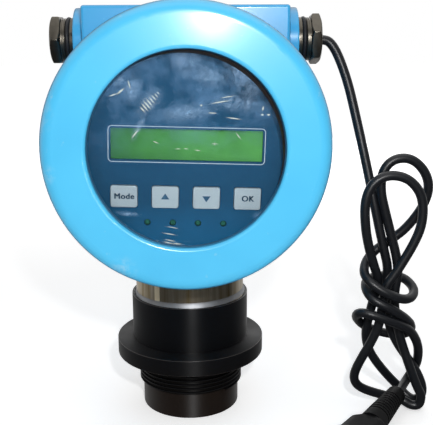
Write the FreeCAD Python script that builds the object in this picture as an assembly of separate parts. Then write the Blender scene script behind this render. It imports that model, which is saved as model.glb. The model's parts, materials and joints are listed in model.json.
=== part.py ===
"""Ultrasonic open channel flow meter: a round field transmitter on an ultrasonic level sensor.

Millimetres. The origin lies on the sensor's axis, on the seat of its flange, with +Z up.
The display faces -Y, and the two cable entries lie along X.
"""
import FreeCAD, Part
import math
import os

from FreeCAD import Matrix, Rotation, Vector

# Sensor: one turned black body on the Z axis, with its flange seat at z = 0
thread_d = 59.6
thread_len = 17.5
thread_lead_in = 1.2
flange_rim = 8.9
flange_t = 8.9
flange_edge = 0.8
cup_wall = 1.3
cup_h = 26.3
cup_edge = 0.7
cup_groove_w = 1.6
cup_groove_deep = 0.8
sleeve_step = 2.1
sensor_drop = 31.8
sleeve_edge = 1.4
sensor_wall = 4.0
bond_gap = 0.1
matching_t = 6.0
piezo_d = 38.0
piezo_t = 8.0
damping_t = 16.0
sensor_lead_d = 4.0

# Steel neck between the sensor's cup and the housing
neck_d = 61.4
neck_wall = 4.0
neck_lip_w = 1.0
neck_lip_chamfer = 0.8
neck_lip_sunk = 0.3
neck_seat_deep = 12.0
neck_fit = 0.1
neck_shown = 14.0
neck_engage = 14.0
neck_ring_d = 2.4
neck_ring_squeeze = 0.2

# Housing: a cast can on a front to back axis, with a saddle block on top and a spigot below
head_over_spigot = 76.1
shoulder_step = 2.4
can_draft = 2.0
can_behind_spigot = 5.7
can_back_round = 12.0
back_wall = 6.0
cavity_d = 118.0
cavity_round = 6.0
shoulder_before_spigot = 0.9
mouth_len = 14.0
mouth_wall = 4.7
land_step = 0.9
land_len = 6.0
spigot_wall = 3.6
spigot_edge = 1.2
block_w = 106.6
block_beside_boss = 5.4
block_over_boss = 1.1
block_edge = 1.6
boss_wall = 6.6
boss_proud = 5.4
boss_edge = 0.8
boss_groove_w = 0.8
boss_groove_deep = 0.9
bracket_pitch_x = 80.0
bracket_pitch_y = 30.0
bracket_hole_d = 5.0
bracket_hole_deep = 9.0
casting_blend = 2.5

# Cover: the blue ring that screws on the mouth and carries the window
cover_wall = 3.0
cover_round = 6.5
cover_gap = 0.4
cover_thread_gap = 0.35
window_d = 96.2
lip_t = 3.8
lip_round = 1.8
glass_t = 5.0
glass_rim = 6.0
glass_fit = 0.3
gasket_t = 1.0
gasket_peek = 0.5
retainer_t = 2.4
retainer_gap = 0.6
retainer_rim = 1.4
retainer_set_back = 1.5
cover_ring_d = 2.6
cover_ring_room = 0.3
cover_ring_from_rear = 3.2

# Cable entries: hollow hexagon screws with a rubber bush
entry_rise = 51.0
entry_thread_d = 20.0
entry_thread_len = 12.0
entry_thread_gap = 0.15
entry_collar_lip = 1.6
entry_collar_w = 2.5
entry_ring_d = 2.3
entry_ring_seat_deep = 0.3
entry_neck_step = 1.0
entry_neck_w = 2.6
entry_hex_step = 1.0
entry_hex_w = 5.4
entry_hex_chamfer = 1.1
entry_hex_turn_deg = 15.0
entry_bore_play = 1.0
bush_wall = 2.5
bush_len = 15.0
bush_gap = 0.1
washer_t = 1.4
washer_play = 1.0

# Display stack, turned a little about the head axis as it was fitted
panel_turn_deg = 1.8
panel_t = 2.0
panel_sunk = 2.0
panel_gap = 0.4
post_d = 10.0
post_inset = 3.5
post_angle_deg = 30.0
panel_screw_d = 3.0
panel_screw_head_d = 5.6
panel_screw_head_t = 1.6
panel_screw_len = 10.0
lcd_window_w = 75.0
lcd_window_h = 15.5
lcd_rise = 1.2
lcd_frame_rim = 4.0
lcd_frame_depth = 5.2
lcd_frame_wall = 0.8
lcd_glass_t = 2.4
lcd_board_margin = 5.0
board_t = 1.6
stack_gap = 0.2
board_gap = 1.5
display_board_back = 8.0
standoff_d = 4.0
standoff_gap = 0.4
key_w = 13.3
key_h = 11.0
key_round = 1.2
key_proud = 1.2
key_edge = 0.4
key_pitch = 20.5
key_drop = 26.2
key_gap = 0.25
key_flange = 0.9
key_flange_t = 1.2
key_stem_d = 3.6
key_stem_len = 1.7
key_rest_gap = 0.1
switch_w = 6.0
switch_h = 3.5
plunger_d = 3.4
plunger_h = 0.7
led_d = 3.0
led_gap = 0.15
led_proud = 0.4
led_pitch = 12.7
led_drop = 39.4

# Main board, on cast posts at the back of the can
main_board_y = 6.0
main_post_d = 8.0
main_post_inset = 5.0
main_post_angle_deg = 20.0
main_screw_d = 3.0
main_screw_head_d = 5.4
main_screw_head_t = 1.8
main_screw_len = 7.0
relay_w = 15.0
relay_l = 19.0
relay_h = 15.2
relay_pitch = 18.0
transformer_w = 42.0
transformer_l = 32.0
transformer_h = 26.0
terminal_w = 26.0
terminal_l = 8.0
terminal_h = 11.0
terminal_spread = 15.0
terminal_margin = 1.8
terminal_poles = 5
terminal_hole_d = 3.2
capacitor_d = 12.0
capacitor_h = 18.0
capacitor_x = -31.0
capacitor_rise = 0.0
connector_w = 10.0
connector_l = 8.0
connector_h = 10.0
connector_rise = 3.0

# Mains cable: round lead, hank and moulded plug, standing on the same surface as the sensor
cable_d = 5.2
cable_slip = 0.1
lead_points = [
    (56.0, 0.0, 176.3),
    (78.5, 0.0, 176.2),
    (88.2, -3.5, 156.0),
    (92.6, -8.0, 133.0),
    (96.8, -12.5, 111.5),
    (100.8, -16.0, 91.5),
]
tail_points = [
    (121.0, -25.0, 22.5),
    (128.5, -20.5, 11.5),
    (131.5, -13.5, -1.0),
    (130.5, -8.0, -10.5),
    (126.8, -8.6, -18.4),
    (122.0, -15.4, -21.2),
    (117.2, -23.0, -21.3),
]
ear_y = -20.0
ear_depth = 15.0
foot_y = -12.2
foot_depth = 11.0
ear_outer = [
    (91.6, 60.5, 8.0),
    (90.0, 106.5, 16.0),
    (112.6, 124.5, 14.0),
    (132.6, 104.5, 12.0),
    (118.6, 60.5, 8.0),
]
ear_inner = [
    (103.6, 64.5, 3.0),
    (100.6, 98.5, 8.0),
    (112.6, 111.5, 6.0),
    (121.6, 97.5, 5.0),
    (111.6, 64.5, 2.0),
]
knot_centre = (108.1, -20.0, 38.3)
knot_half = (19.0, 14.0, 29.0)
foot_outer = [
    (94.0, 26.0, 6.0),
    (88.0, -14.0, 10.0),
    (132.5, -31.4, 7.0),
    (139.0, -22.0, 6.0),
    (122.0, 26.0, 6.0),
]
foot_inner = [
    (104.0, 22.0, 3.0),
    (98.0, -6.0, 4.0),
    (126.0, -19.0, 3.0),
    (129.0, -16.0, 2.0),
    (115.0, 20.0, 3.0),
]
plug_tip = (117.2, -23.0)
plug_heading_deg = 237.7
plug_w = 30.0
plug_h = 21.0
plug_round = 7.0
plug_edge = 2.0
plug_body_len = 10.0
grip_rear = (15.0, 12.0, 5.9)
grip_shoulder = (22.0, 13.4, 6.0)
grip_front = (24.0, 15.0, 6.5)
grip_shoulder_len = 5.0
grip_len = 14.0
flare_len = 10.0
relief_len = 41.0
relief_d = 14.6
relief_taper = 2.1
relief_collar = 10.0
relief_plain = 6.0
relief_ribs = 9
relief_rib_w = 1.7
relief_rib_deep = 0.8
relief_edge = 0.8
pin_w = 6.3
pin_t = 1.6
pin_len = 17.0
pin_sunk = 6.0
pin_edge = 0.5
pin_fit = 0.05
pin_spread = 7.9
pin_rise = 5.3
earth_drop = 5.7
pin_lean_deg = 30.0

# Small edges, and how far a cutting tool reaches past the face that it cuts
fine_edge = 0.3
soft_edge = 0.6
worn_edge = 1.0
screw_tip_gap = 1.0
over = 1.0

# Worked out from the sizes above
face_z = -sensor_drop
cup_rim_z = flange_t + cup_h
neck_foot_z = cup_rim_z - neck_seat_deep
spigot_z = cup_rim_z + neck_shown
head_z = spigot_z + head_over_spigot
neck_top_z = spigot_z + neck_engage
neck_lip_r = neck_d / 2 + neck_lip_w
neck_bore_r = neck_d / 2 - neck_wall
cup_seat_r = neck_lip_r + neck_fit
cup_d = 2 * (cup_seat_r + cup_wall)
flange_d = cup_d + 2 * flange_rim
sleeve_d = thread_d - 2 * sleeve_step
pocket_r = sleeve_d / 2 - sensor_wall
spigot_r = neck_d / 2 + spigot_wall
shoulder_y = -spigot_r - shoulder_before_spigot
can_back_y = spigot_r + can_behind_spigot
mouth_thread_d = cavity_d + 2 * mouth_wall
land_d = mouth_thread_d + 2 * land_step
can_d = land_d + 2 * shoulder_step
cover_groove_r = land_d / 2 + cover_ring_d + 2 * cover_ring_room
cover_d = 2 * (cover_groove_r + cover_wall)
mouth_y = shoulder_y - mouth_len
cover_rear_y = shoulder_y - cover_gap
retainer_rear_y = mouth_y - retainer_gap
glass_rear_y = retainer_rear_y - retainer_t
glass_front_y = glass_rear_y - glass_t
lip_rear_y = glass_front_y - gasket_t
cover_front_y = lip_rear_y - lip_t
glass_r = window_d / 2 + glass_rim
retainer_r = glass_r + retainer_rim
post_pitch_r = cavity_d / 2 - post_inset
board_r = post_pitch_r - post_d / 2 - board_gap
main_post_r = board_r - main_post_inset
boss_d = entry_thread_d + 2 * boss_wall
block_depth = boss_d + 2 * block_beside_boss
block_rise = entry_rise + boss_d / 2 + block_over_boss
entry_collar_d = entry_thread_d + 2 * entry_collar_lip
entry_ring_seat_d = entry_thread_d - 2 * entry_ring_seat_deep
entry_neck_d = entry_thread_d + 2 * entry_neck_step
entry_hex_af = entry_neck_d + 2 * entry_hex_step
entry_bore_d = cable_d + 2 * entry_bore_play
bush_d = entry_thread_d - 2 * bush_wall
entry_z = head_z + entry_rise
block_top_z = head_z + block_rise
boss_x = block_w / 2 + boss_proud
collar_x = boss_x + entry_collar_w
ring_x = collar_x + entry_ring_d
hex_x = ring_x + entry_neck_w
entry_end_x = hex_x + entry_hex_w
thread_end_x = boss_x - entry_thread_len
bush_end_x = thread_end_x + washer_t + bush_len
panel_front_y = mouth_y + panel_sunk
panel_rear_y = panel_front_y + panel_t
display_board_y = panel_rear_y + display_board_back
lcd_frame_y = panel_rear_y + stack_gap
lcd_board_y = lcd_frame_y + lcd_frame_depth
lcd_z = head_z + lcd_rise
key_z = lcd_z - key_drop
led_z = lcd_z - led_drop
inner_back_y = can_back_y - back_wall
main_board_rear_y = main_board_y + board_t
plug_axis_z = face_z + plug_h / 2

HEAD_AXIS = Vector(0, 1, 0)
HEAD_CENTRE = Vector(0, 0, head_z)
SENSOR_AXIS = Vector(0, 0, 1)
ORIGIN = Vector(0, 0, 0)
KEY_NAMES = ("mode", "up", "down", "ok")

parts = {}


def rounded_wire(corners, place):
    """Closed outline through (u, v) or (u, v, radius) corners, with tangent arcs at the radii."""
    flat = [(c[0], c[1], c[2] if len(c) > 2 else 0.0) for c in corners]
    spans = []
    for i, (u, v, radius) in enumerate(flat):
        here = Vector(u, v, 0)
        before = Vector(flat[i - 1][0], flat[i - 1][1], 0) - here
        after = Vector(flat[(i + 1) % len(flat)][0], flat[(i + 1) % len(flat)][1], 0) - here
        before.normalize()
        after.normalize()
        if radius <= 0:
            spans.append((here, None, here))
            continue
        half = before.getAngle(after) / 2
        middle = before + after
        middle.normalize()
        reach = radius / math.tan(half)
        deep = radius / math.sin(half) - radius
        spans.append((here + before * reach, here + middle * deep, here + after * reach))
    edges = []
    for i, (start, middle, end) in enumerate(spans):
        if middle is not None:
            edges.append(Part.Arc(place(start), place(middle), place(end)).toShape())
        following = spans[(i + 1) % len(spans)][0]
        if end.distanceToPoint(following) > 1e-6:
            edges.append(Part.LineSegment(place(end), place(following)).toShape())
    return Part.Wire(edges)


def turned_on_sensor(corners):
    """Solid of revolution about the sensor axis, from (radius, z) corners."""
    face = Part.Face(rounded_wire(corners, lambda p: Vector(p.x, 0, p.y)))
    return face.revolve(ORIGIN, SENSOR_AXIS, 360)


def turned_on_head(corners):
    """Solid of revolution about the head axis, from (radius, y) corners."""
    face = Part.Face(rounded_wire(corners, lambda p: Vector(p.x, p.y, head_z)))
    return face.revolve(HEAD_CENTRE, HEAD_AXIS, 360)


def turned_on_entry(corners):
    """Solid of revolution about the entries' axis, from (radius, x) corners on the right-hand side."""
    face = Part.Face(rounded_wire(corners, lambda p: Vector(p.y, 0, entry_z + p.x)))
    return face.revolve(Vector(0, 0, entry_z), Vector(1, 0, 0), 360)


def plate(width, height, centre_x, centre_z, front_y, depth, radius=0.0):
    """Upright plate with rounded corners, its front face at front_y."""
    half_w = width / 2
    half_h = height / 2
    corners = [
        (centre_x + sx * half_w, centre_z + sz * half_h, radius)
        for sx, sz in ((-1, -1), (1, -1), (1, 1), (-1, 1))
    ]
    face = Part.Face(rounded_wire(corners, lambda p: Vector(p.x, front_y, p.y)))
    return face.extrude(Vector(0, depth, 0))


def rod(radius, x, z, front_y, depth):
    """Round bar along the head axis, its front face at front_y."""
    return Part.makeCylinder(radius, depth, Vector(x, front_y, z), HEAD_AXIS)


def ring_of_points(radius, angle_deg):
    """Four places about the head axis, mirrored left and right, up and down."""
    x = radius * math.cos(math.radians(angle_deg))
    z = radius * math.sin(math.radians(angle_deg))
    return [(sx * x, head_z + sz * z) for sx, sz in ((1, 1), (-1, 1), (-1, -1), (1, -1))]


def as_fitted(shape):
    """The display stack's own turn about the head axis."""
    turned = shape.copy()
    turned.rotate(HEAD_CENTRE, HEAD_AXIS, panel_turn_deg)
    return turned


def group(solids):
    return Part.makeCompound(solids)


def blended(first, second, radius):
    """Fuses two cast forms, with a fillet along the line where their outsides meet."""
    both = first.fuse(second)
    old_edges = first.Edges + second.Edges
    meeting = []
    for edge in both.Edges:
        middle = Part.Vertex(edge.valueAt((edge.FirstParameter + edge.LastParameter) / 2))
        on_both = all(form.Shells[0].distToShape(middle)[0] < 1e-4 for form in (first, second))
        on_old = any(old.distToShape(middle)[0] < 1e-4 for old in old_edges)
        if on_both and not on_old:
            meeting.append(edge)
    return both.makeFillet(radius, meeting)


def cord_tube(points, diameter, label):
    """Round tube along straight runs and tangent arcs, each arc as large as its runs allow."""
    route = [Vector(*p) for p in points]
    edges = []
    radii = []
    start = route[0]
    for before, corner, after in zip(route, route[1:], route[2:]):
        back = before - corner
        ahead = after - corner
        shorter = min(back.Length, ahead.Length)
        half_turn = (math.pi - back.getAngle(ahead)) / 2
        reach = 0.45 * shorter
        radius = reach / math.tan(half_turn)
        back.normalize()
        ahead.normalize()
        middle = back + ahead
        middle.normalize()
        deep = radius / math.cos(half_turn) - radius
        edges.append(Part.LineSegment(start, corner + back * reach).toShape())
        bend_end = corner + ahead * reach
        edges.append(Part.Arc(corner + back * reach, corner + middle * deep, bend_end).toShape())
        start = bend_end
        radii.append(radius)
    edges.append(Part.LineSegment(start, route[-1]).toShape())
    path = Part.Wire(edges)
    circle = Part.makeCircle(diameter / 2, route[0], route[1] - route[0])
    tube = path.makePipeShell([Part.Wire(circle)], True, False)
    expected = math.pi * diameter ** 2 / 4 * path.Length
    print(label, "radii", [round(r, 1) for r in radii], "length", round(path.Length, 1))
    print(label, "volume over section times length", round(tube.Volume / expected, 4))
    return tube


def make_sensor():
    cup_r = cup_d / 2
    groove_r = cup_r - cup_groove_deep
    parts["sensor_body"] = turned_on_sensor([
        (pocket_r, face_z),
        (sleeve_d / 2, face_z, sleeve_edge),
        (sleeve_d / 2, -thread_len),
        (thread_d / 2 - thread_lead_in, -thread_len),
        (thread_d / 2, -thread_len + thread_lead_in),
        (thread_d / 2, 0),
        (flange_d / 2, 0, flange_edge),
        (flange_d / 2, flange_t, flange_edge),
        (groove_r, flange_t),
        (groove_r, flange_t + cup_groove_w),
        (cup_r, flange_t + cup_groove_w),
        (cup_r, cup_rim_z, cup_edge),
        (cup_seat_r, cup_rim_z),
        (cup_seat_r, neck_foot_z),
        (pocket_r, neck_foot_z),
    ])
    layer_r = pocket_r - bond_gap
    piezo_z = face_z + matching_t
    damping_z = piezo_z + piezo_t
    lead_z = damping_z + damping_t
    parts["matching_layer"] = Part.makeCylinder(layer_r, matching_t, Vector(0, 0, face_z))
    parts["piezo_disc"] = Part.makeCylinder(piezo_d / 2, piezo_t, Vector(0, 0, piezo_z))
    parts["damping_block"] = Part.makeCylinder(layer_r, damping_t, Vector(0, 0, damping_z))
    connector_z = connector_foot_z()
    lead = Part.makeCylinder(sensor_lead_d / 2, connector_z - lead_z, Vector(0, 0, lead_z))
    parts["transducer_lead"] = lead
    parts["sensor_connector"] = plate(
        connector_w, connector_l, 0, connector_z + connector_l / 2,
        main_board_y - connector_h, connector_h, soft_edge)


def connector_foot_z():
    return head_z - board_r + connector_rise


def make_neck():
    neck_r = neck_d / 2
    lip_top = cup_rim_z - neck_lip_sunk
    ring_z = spigot_z + neck_engage / 2
    groove_deep = neck_ring_d - neck_ring_squeeze
    half_groove = neck_ring_d / 2 + neck_ring_squeeze
    parts["steel_neck"] = turned_on_sensor([
        (neck_bore_r, neck_foot_z),
        (neck_lip_r, neck_foot_z),
        (neck_lip_r, lip_top - neck_lip_chamfer),
        (neck_lip_r - neck_lip_chamfer, lip_top),
        (neck_r, lip_top),
        (neck_r, ring_z - half_groove),
        (neck_r - groove_deep, ring_z - half_groove),
        (neck_r - groove_deep, ring_z + half_groove),
        (neck_r, ring_z + half_groove),
        (neck_r, neck_top_z),
        (neck_bore_r, neck_top_z),
    ])
    ring_r = neck_r - groove_deep + neck_ring_d / 2
    section_r = neck_ring_d / 2 - neck_ring_squeeze / 2
    parts["neck_o_ring"] = Part.makeTorus(ring_r, section_r, Vector(0, 0, ring_z))


def make_housing():
    can_r = can_d / 2
    cavity_r = cavity_d / 2
    can = turned_on_head([
        (0, mouth_y),
        (mouth_thread_d / 2, mouth_y, soft_edge),
        (mouth_thread_d / 2, shoulder_y - land_len),
        (land_d / 2, shoulder_y - land_len, soft_edge),
        (land_d / 2, shoulder_y),
        (can_r, shoulder_y, worn_edge),
        (can_r - can_draft, can_back_y, can_back_round),
        (0, can_back_y),
    ])
    block_corner = Vector(-block_w / 2, -block_depth / 2, head_z)
    block = Part.makeBox(block_w, block_depth, block_rise, block_corner)
    top_edges = [e for e in block.Edges if e.BoundBox.ZMin > block_top_z - 0.01]
    upright_edges = [e for e in block.Edges if e.BoundBox.ZLength > block_rise - 0.01]
    block = block.makeFillet(block_edge, top_edges + upright_edges)
    boss_groove_x = block_w / 2 + boss_groove_w
    groove_r = boss_d / 2 - boss_groove_deep
    boss = turned_on_entry([
        (0, cavity_r / 2),
        (groove_r, cavity_r / 2),
        (groove_r, boss_groove_x),
        (boss_d / 2, boss_groove_x),
        (boss_d / 2, boss_x, boss_edge),
        (0, boss_x),
    ])
    spigot = turned_on_sensor([
        (0, spigot_z),
        (spigot_r, spigot_z, spigot_edge),
        (spigot_r, head_z - cavity_r / 2),
        (0, head_z - cavity_r / 2),
    ])
    casting = blended(blended(can, block, casting_blend), spigot, casting_blend)
    casting = casting.fuse([boss, boss.mirror(ORIGIN, Vector(1, 0, 0))])
    cavity = turned_on_head([
        (0, mouth_y - over),
        (cavity_r, mouth_y - over),
        (cavity_r, inner_back_y, cavity_round),
        (0, inner_back_y),
    ])
    hollow = casting.cut(cavity)
    panel_posts = [
        as_fitted(rod(post_d / 2, x, z, panel_rear_y, inner_back_y - panel_rear_y + over))
        for x, z in ring_of_points(post_pitch_r, post_angle_deg)
    ]
    post_holes = [
        as_fitted(rod(panel_screw_d / 2, x, z, panel_rear_y - over, panel_screw_len + over))
        for x, z in ring_of_points(post_pitch_r, post_angle_deg)
    ]
    board_places = ring_of_points(main_post_r, main_post_angle_deg)
    board_posts = [
        rod(main_post_d / 2, x, z, main_board_rear_y, inner_back_y - main_board_rear_y + over)
        for x, z in board_places
    ]
    board_holes = [
        rod(main_screw_d / 2, x, z, main_board_rear_y - over, main_screw_len + over) for x, z in board_places
    ]
    limit = turned_on_head([
        (0, mouth_y),
        (cavity_r + over, mouth_y),
        (cavity_r + over, can_back_y - back_wall / 2),
        (0, can_back_y - back_wall / 2),
    ])
    hollow = hollow.fuse([p.common(limit) for p in panel_posts] + board_posts)
    entry_r = entry_thread_d / 2 + entry_thread_gap
    duct_length = boss_x - cavity_r / 3
    ducts = [
        Part.makeCylinder(
            entry_r, duct_length + over, Vector(side * (boss_x + over), 0, entry_z), Vector(-side, 0, 0))
        for side in (-1, 1)
    ]
    neck_hole = turned_on_sensor([
        (0, spigot_z - over),
        (neck_d / 2 + neck_fit, spigot_z - over),
        (neck_d / 2 + neck_fit, neck_top_z),
        (neck_bore_r, neck_top_z),
        (neck_bore_r, head_z - cavity_r / 2),
        (0, head_z - cavity_r / 2),
    ])
    bracket_holes = [
        Part.makeCylinder(
            bracket_hole_d / 2, bracket_hole_deep + over,
            Vector(sx * bracket_pitch_x / 2, sy * bracket_pitch_y / 2, block_top_z - bracket_hole_deep))
        for sx in (-1, 1)
        for sy in (-1, 1)
    ]
    parts["housing"] = hollow.cut(ducts + [neck_hole] + bracket_holes + post_holes + board_holes)


def make_cover():
    bore_r = mouth_thread_d / 2 + cover_thread_gap
    land_bore_r = land_d / 2 + cover_thread_gap
    land_y = shoulder_y - land_len - cover_thread_gap
    ring_bore_r = land_d / 2 + cover_ring_room
    ring_y = cover_rear_y - cover_ring_from_rear
    half_groove = cover_ring_d / 2 + cover_ring_room
    parts["cover_ring"] = turned_on_head([
        (window_d / 2, cover_front_y, lip_round),
        (cover_d / 2, cover_front_y, cover_round),
        (cover_d / 2, cover_rear_y, worn_edge),
        (land_bore_r, cover_rear_y, soft_edge),
        (land_bore_r, ring_y + half_groove),
        (cover_groove_r, ring_y + half_groove),
        (cover_groove_r, ring_y - half_groove),
        (land_bore_r, ring_y - half_groove),
        (land_bore_r, land_y),
        (bore_r, land_y),
        (bore_r, retainer_rear_y),
        (retainer_r + glass_fit, retainer_rear_y),
        (retainer_r + glass_fit, glass_rear_y),
        (glass_r + glass_fit, glass_rear_y),
        (glass_r + glass_fit, lip_rear_y),
        (window_d / 2, lip_rear_y),
    ])
    parts["cover_o_ring"] = Part.makeTorus(
        ring_bore_r + cover_ring_d / 2, cover_ring_d / 2, Vector(0, ring_y, head_z), HEAD_AXIS)
    gasket_r = window_d / 2 - gasket_peek
    parts["window_gasket"] = turned_on_head([
        (gasket_r, lip_rear_y, fine_edge),
        (glass_r, lip_rear_y),
        (glass_r, glass_front_y),
        (gasket_r, glass_front_y),
    ])
    parts["window_glass"] = turned_on_head([
        (0, glass_front_y),
        (glass_r, glass_front_y, soft_edge),
        (glass_r, glass_rear_y, soft_edge),
        (0, glass_rear_y),
    ])
    retainer_bore_r = window_d / 2 + retainer_set_back
    parts["glass_retainer"] = turned_on_head([
        (retainer_bore_r, glass_rear_y, fine_edge),
        (retainer_r, glass_rear_y),
        (retainer_r, retainer_rear_y),
        (retainer_bore_r, retainer_rear_y, fine_edge),
    ])


def make_panel():
    panel = rod(cavity_d / 2 - panel_gap, 0, head_z, panel_front_y, panel_t)
    through = panel_t + 2 * over
    cuts = [plate(lcd_window_w, lcd_window_h, 0, lcd_z, panel_front_y - over, through, soft_edge)]
    for x in key_places():
        cuts.append(plate(
            key_w + 2 * key_gap, key_h + 2 * key_gap, x, key_z,
            panel_front_y - over, through, key_round + key_gap))
    for x in led_places():
        cuts.append(rod(led_d / 2 + led_gap, x, led_z, panel_front_y - over, through))
    screw_places = ring_of_points(post_pitch_r, post_angle_deg)
    for x, z in screw_places:
        cuts.append(rod(panel_screw_d / 2, x, z, panel_front_y - over, through))
    parts["front_panel"] = as_fitted(panel.cut(cuts))
    head_y = panel_front_y - panel_screw_head_t
    parts["panel_screws"] = as_fitted(group([
        rod(panel_screw_head_d / 2, x, z, head_y, panel_screw_head_t).fuse(
            rod(panel_screw_d / 2 - bond_gap, x, z, panel_front_y, panel_t + panel_screw_len - screw_tip_gap))
        for x, z in screw_places
    ]))


def key_places():
    first = -1.5 * key_pitch
    return [first + i * key_pitch for i in range(len(KEY_NAMES))]


def led_places():
    first = -1.5 * led_pitch
    return [first + i * led_pitch for i in range(4)]


def make_lcd():
    frame_w = lcd_window_w + 2 * lcd_frame_rim
    frame_h = lcd_window_h + 2 * lcd_frame_rim
    window_rim = lcd_frame_rim / 4
    frame = plate(frame_w, frame_h, 0, lcd_z, lcd_frame_y, lcd_frame_depth, worn_edge)
    hollow = plate(
        frame_w - 2 * lcd_frame_wall, frame_h - 2 * lcd_frame_wall, 0, lcd_z,
        lcd_frame_y + lcd_frame_wall, lcd_frame_depth, fine_edge)
    window = plate(
        lcd_window_w + 2 * window_rim, lcd_window_h + 2 * window_rim, 0, lcd_z,
        lcd_frame_y - over, lcd_frame_depth)
    parts["lcd_frame"] = as_fitted(frame.cut([hollow, window]))
    glass_w = frame_w - 2 * lcd_frame_wall - 2 * stack_gap
    glass_h = frame_h - 2 * lcd_frame_wall - 2 * stack_gap
    parts["lcd_glass"] = as_fitted(plate(
        glass_w, glass_h, 0, lcd_z, lcd_frame_y + lcd_frame_wall, lcd_glass_t, fine_edge))
    light_y = lcd_frame_y + lcd_frame_wall + lcd_glass_t
    parts["lcd_backlight"] = as_fitted(plate(
        glass_w, glass_h, 0, lcd_z, light_y, lcd_board_y - light_y, fine_edge))
    parts["lcd_board"] = as_fitted(plate(
        frame_w + lcd_board_margin, lcd_board_height(), 0, lcd_z, lcd_board_y, board_t, worn_edge))


def lcd_board_height():
    return lcd_window_h + 2 * lcd_frame_rim + 2 * lcd_board_margin


def make_display_board():
    board = rod(board_r, 0, head_z, display_board_y, board_t)
    parts["display_board"] = as_fitted(board)
    standoff_z = lcd_board_height() / 2 + standoff_d / 2 + standoff_gap
    parts["panel_standoffs"] = as_fitted(group([
        rod(standoff_d / 2, sx * key_pitch, lcd_z + sz * standoff_z, panel_rear_y, display_board_back)
        for sx in (-1, 1)
        for sz in (-1, 1)
    ]))
    switch_y = display_board_y - switch_h
    switches = []
    for x in key_places():
        body = plate(switch_w, switch_w, x, key_z, switch_y, switch_h, fine_edge)
        switches.append(body.fuse(rod(plunger_d / 2, x, key_z, switch_y - plunger_h, plunger_h)))
    parts["key_switches"] = as_fitted(group(switches))


def make_keys():
    cap_y = panel_front_y - key_proud
    flange_y = panel_rear_y + key_rest_gap
    for name, x in zip(KEY_NAMES, key_places()):
        cap = plate(key_w, key_h, x, key_z, cap_y, flange_y + key_flange_t - cap_y, key_round)
        front_edges = [e for e in cap.Edges if e.BoundBox.YMax < cap_y + 0.01]
        cap = cap.makeFillet(key_edge, front_edges)
        flange_w = key_w + 2 * key_flange
        flange_h = key_h + 2 * key_flange
        flange = plate(flange_w, flange_h, x, key_z, flange_y, key_flange_t, key_round)
        stem = rod(key_stem_d / 2, x, key_z, flange_y + key_flange_t, key_stem_len)
        parts["key_" + name] = as_fitted(cap.fuse([flange, stem]))


def make_leds():
    radius = led_d / 2
    tip_y = panel_front_y - led_proud
    for i, x in enumerate(led_places()):
        barrel = rod(radius, x, led_z, tip_y + radius, display_board_y - tip_y - radius)
        dome = Part.makeSphere(radius, Vector(x, tip_y + radius, led_z))
        parts["relay_led_%d" % (i + 1)] = as_fitted(barrel.fuse(dome))


def make_main_board():
    """Board with the terminals at its upper edge, and the transformer and relays spaced out below them."""
    places = ring_of_points(main_post_r, main_post_angle_deg)
    terminal_corner_x = terminal_spread + terminal_w / 2
    terminal_top_z = head_z + math.sqrt((board_r - terminal_margin) ** 2 - terminal_corner_x ** 2)
    relay_space_z = connector_foot_z() + connector_l
    row_gap = (terminal_top_z - terminal_l - relay_space_z - relay_l - transformer_l) / 3
    relay_z = relay_space_z + row_gap + relay_l / 2
    core_z = relay_z + relay_l / 2 + row_gap + transformer_l / 2
    holes = [rod(main_screw_d / 2, x, z, main_board_y - over, board_t + 2 * over) for x, z in places]
    parts["main_board"] = rod(board_r, 0, head_z, main_board_y, board_t).cut(holes)
    head_y = main_board_y - main_screw_head_t
    parts["main_board_screws"] = group([
        rod(main_screw_head_d / 2, x, z, head_y, main_screw_head_t).fuse(
            rod(main_screw_d / 2 - bond_gap, x, z, main_board_y, board_t + main_screw_len - screw_tip_gap))
        for x, z in places
    ])
    for i in range(4):
        x = (i - 1.5) * relay_pitch
        parts["relay_%d" % (i + 1)] = plate(
            relay_w, relay_l, x, relay_z, main_board_y - relay_h, relay_h, worn_edge)
    parts["power_transformer"] = plate(
        transformer_w, transformer_l, 0, core_z, main_board_y - transformer_h, transformer_h, 2 * worn_edge)
    pole_pitch = terminal_w / terminal_poles
    for name, side in (("left", -1), ("right", 1)):
        x = side * terminal_spread
        z = terminal_top_z - terminal_l / 2
        block = plate(terminal_w, terminal_l, x, z, main_board_y - terminal_h, terminal_h, fine_edge)
        wells = [
            rod(terminal_hole_d / 2, x + (i - (terminal_poles - 1) / 2) * pole_pitch, z,
                main_board_y - terminal_h - over, terminal_h / 2)
            for i in range(terminal_poles)
        ]
        parts["terminal_block_" + name] = block.cut(wells)
    parts["filter_capacitor"] = rod(
        capacitor_d / 2, capacitor_x, head_z + capacitor_rise, main_board_y - capacitor_h, capacitor_h)


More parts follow.
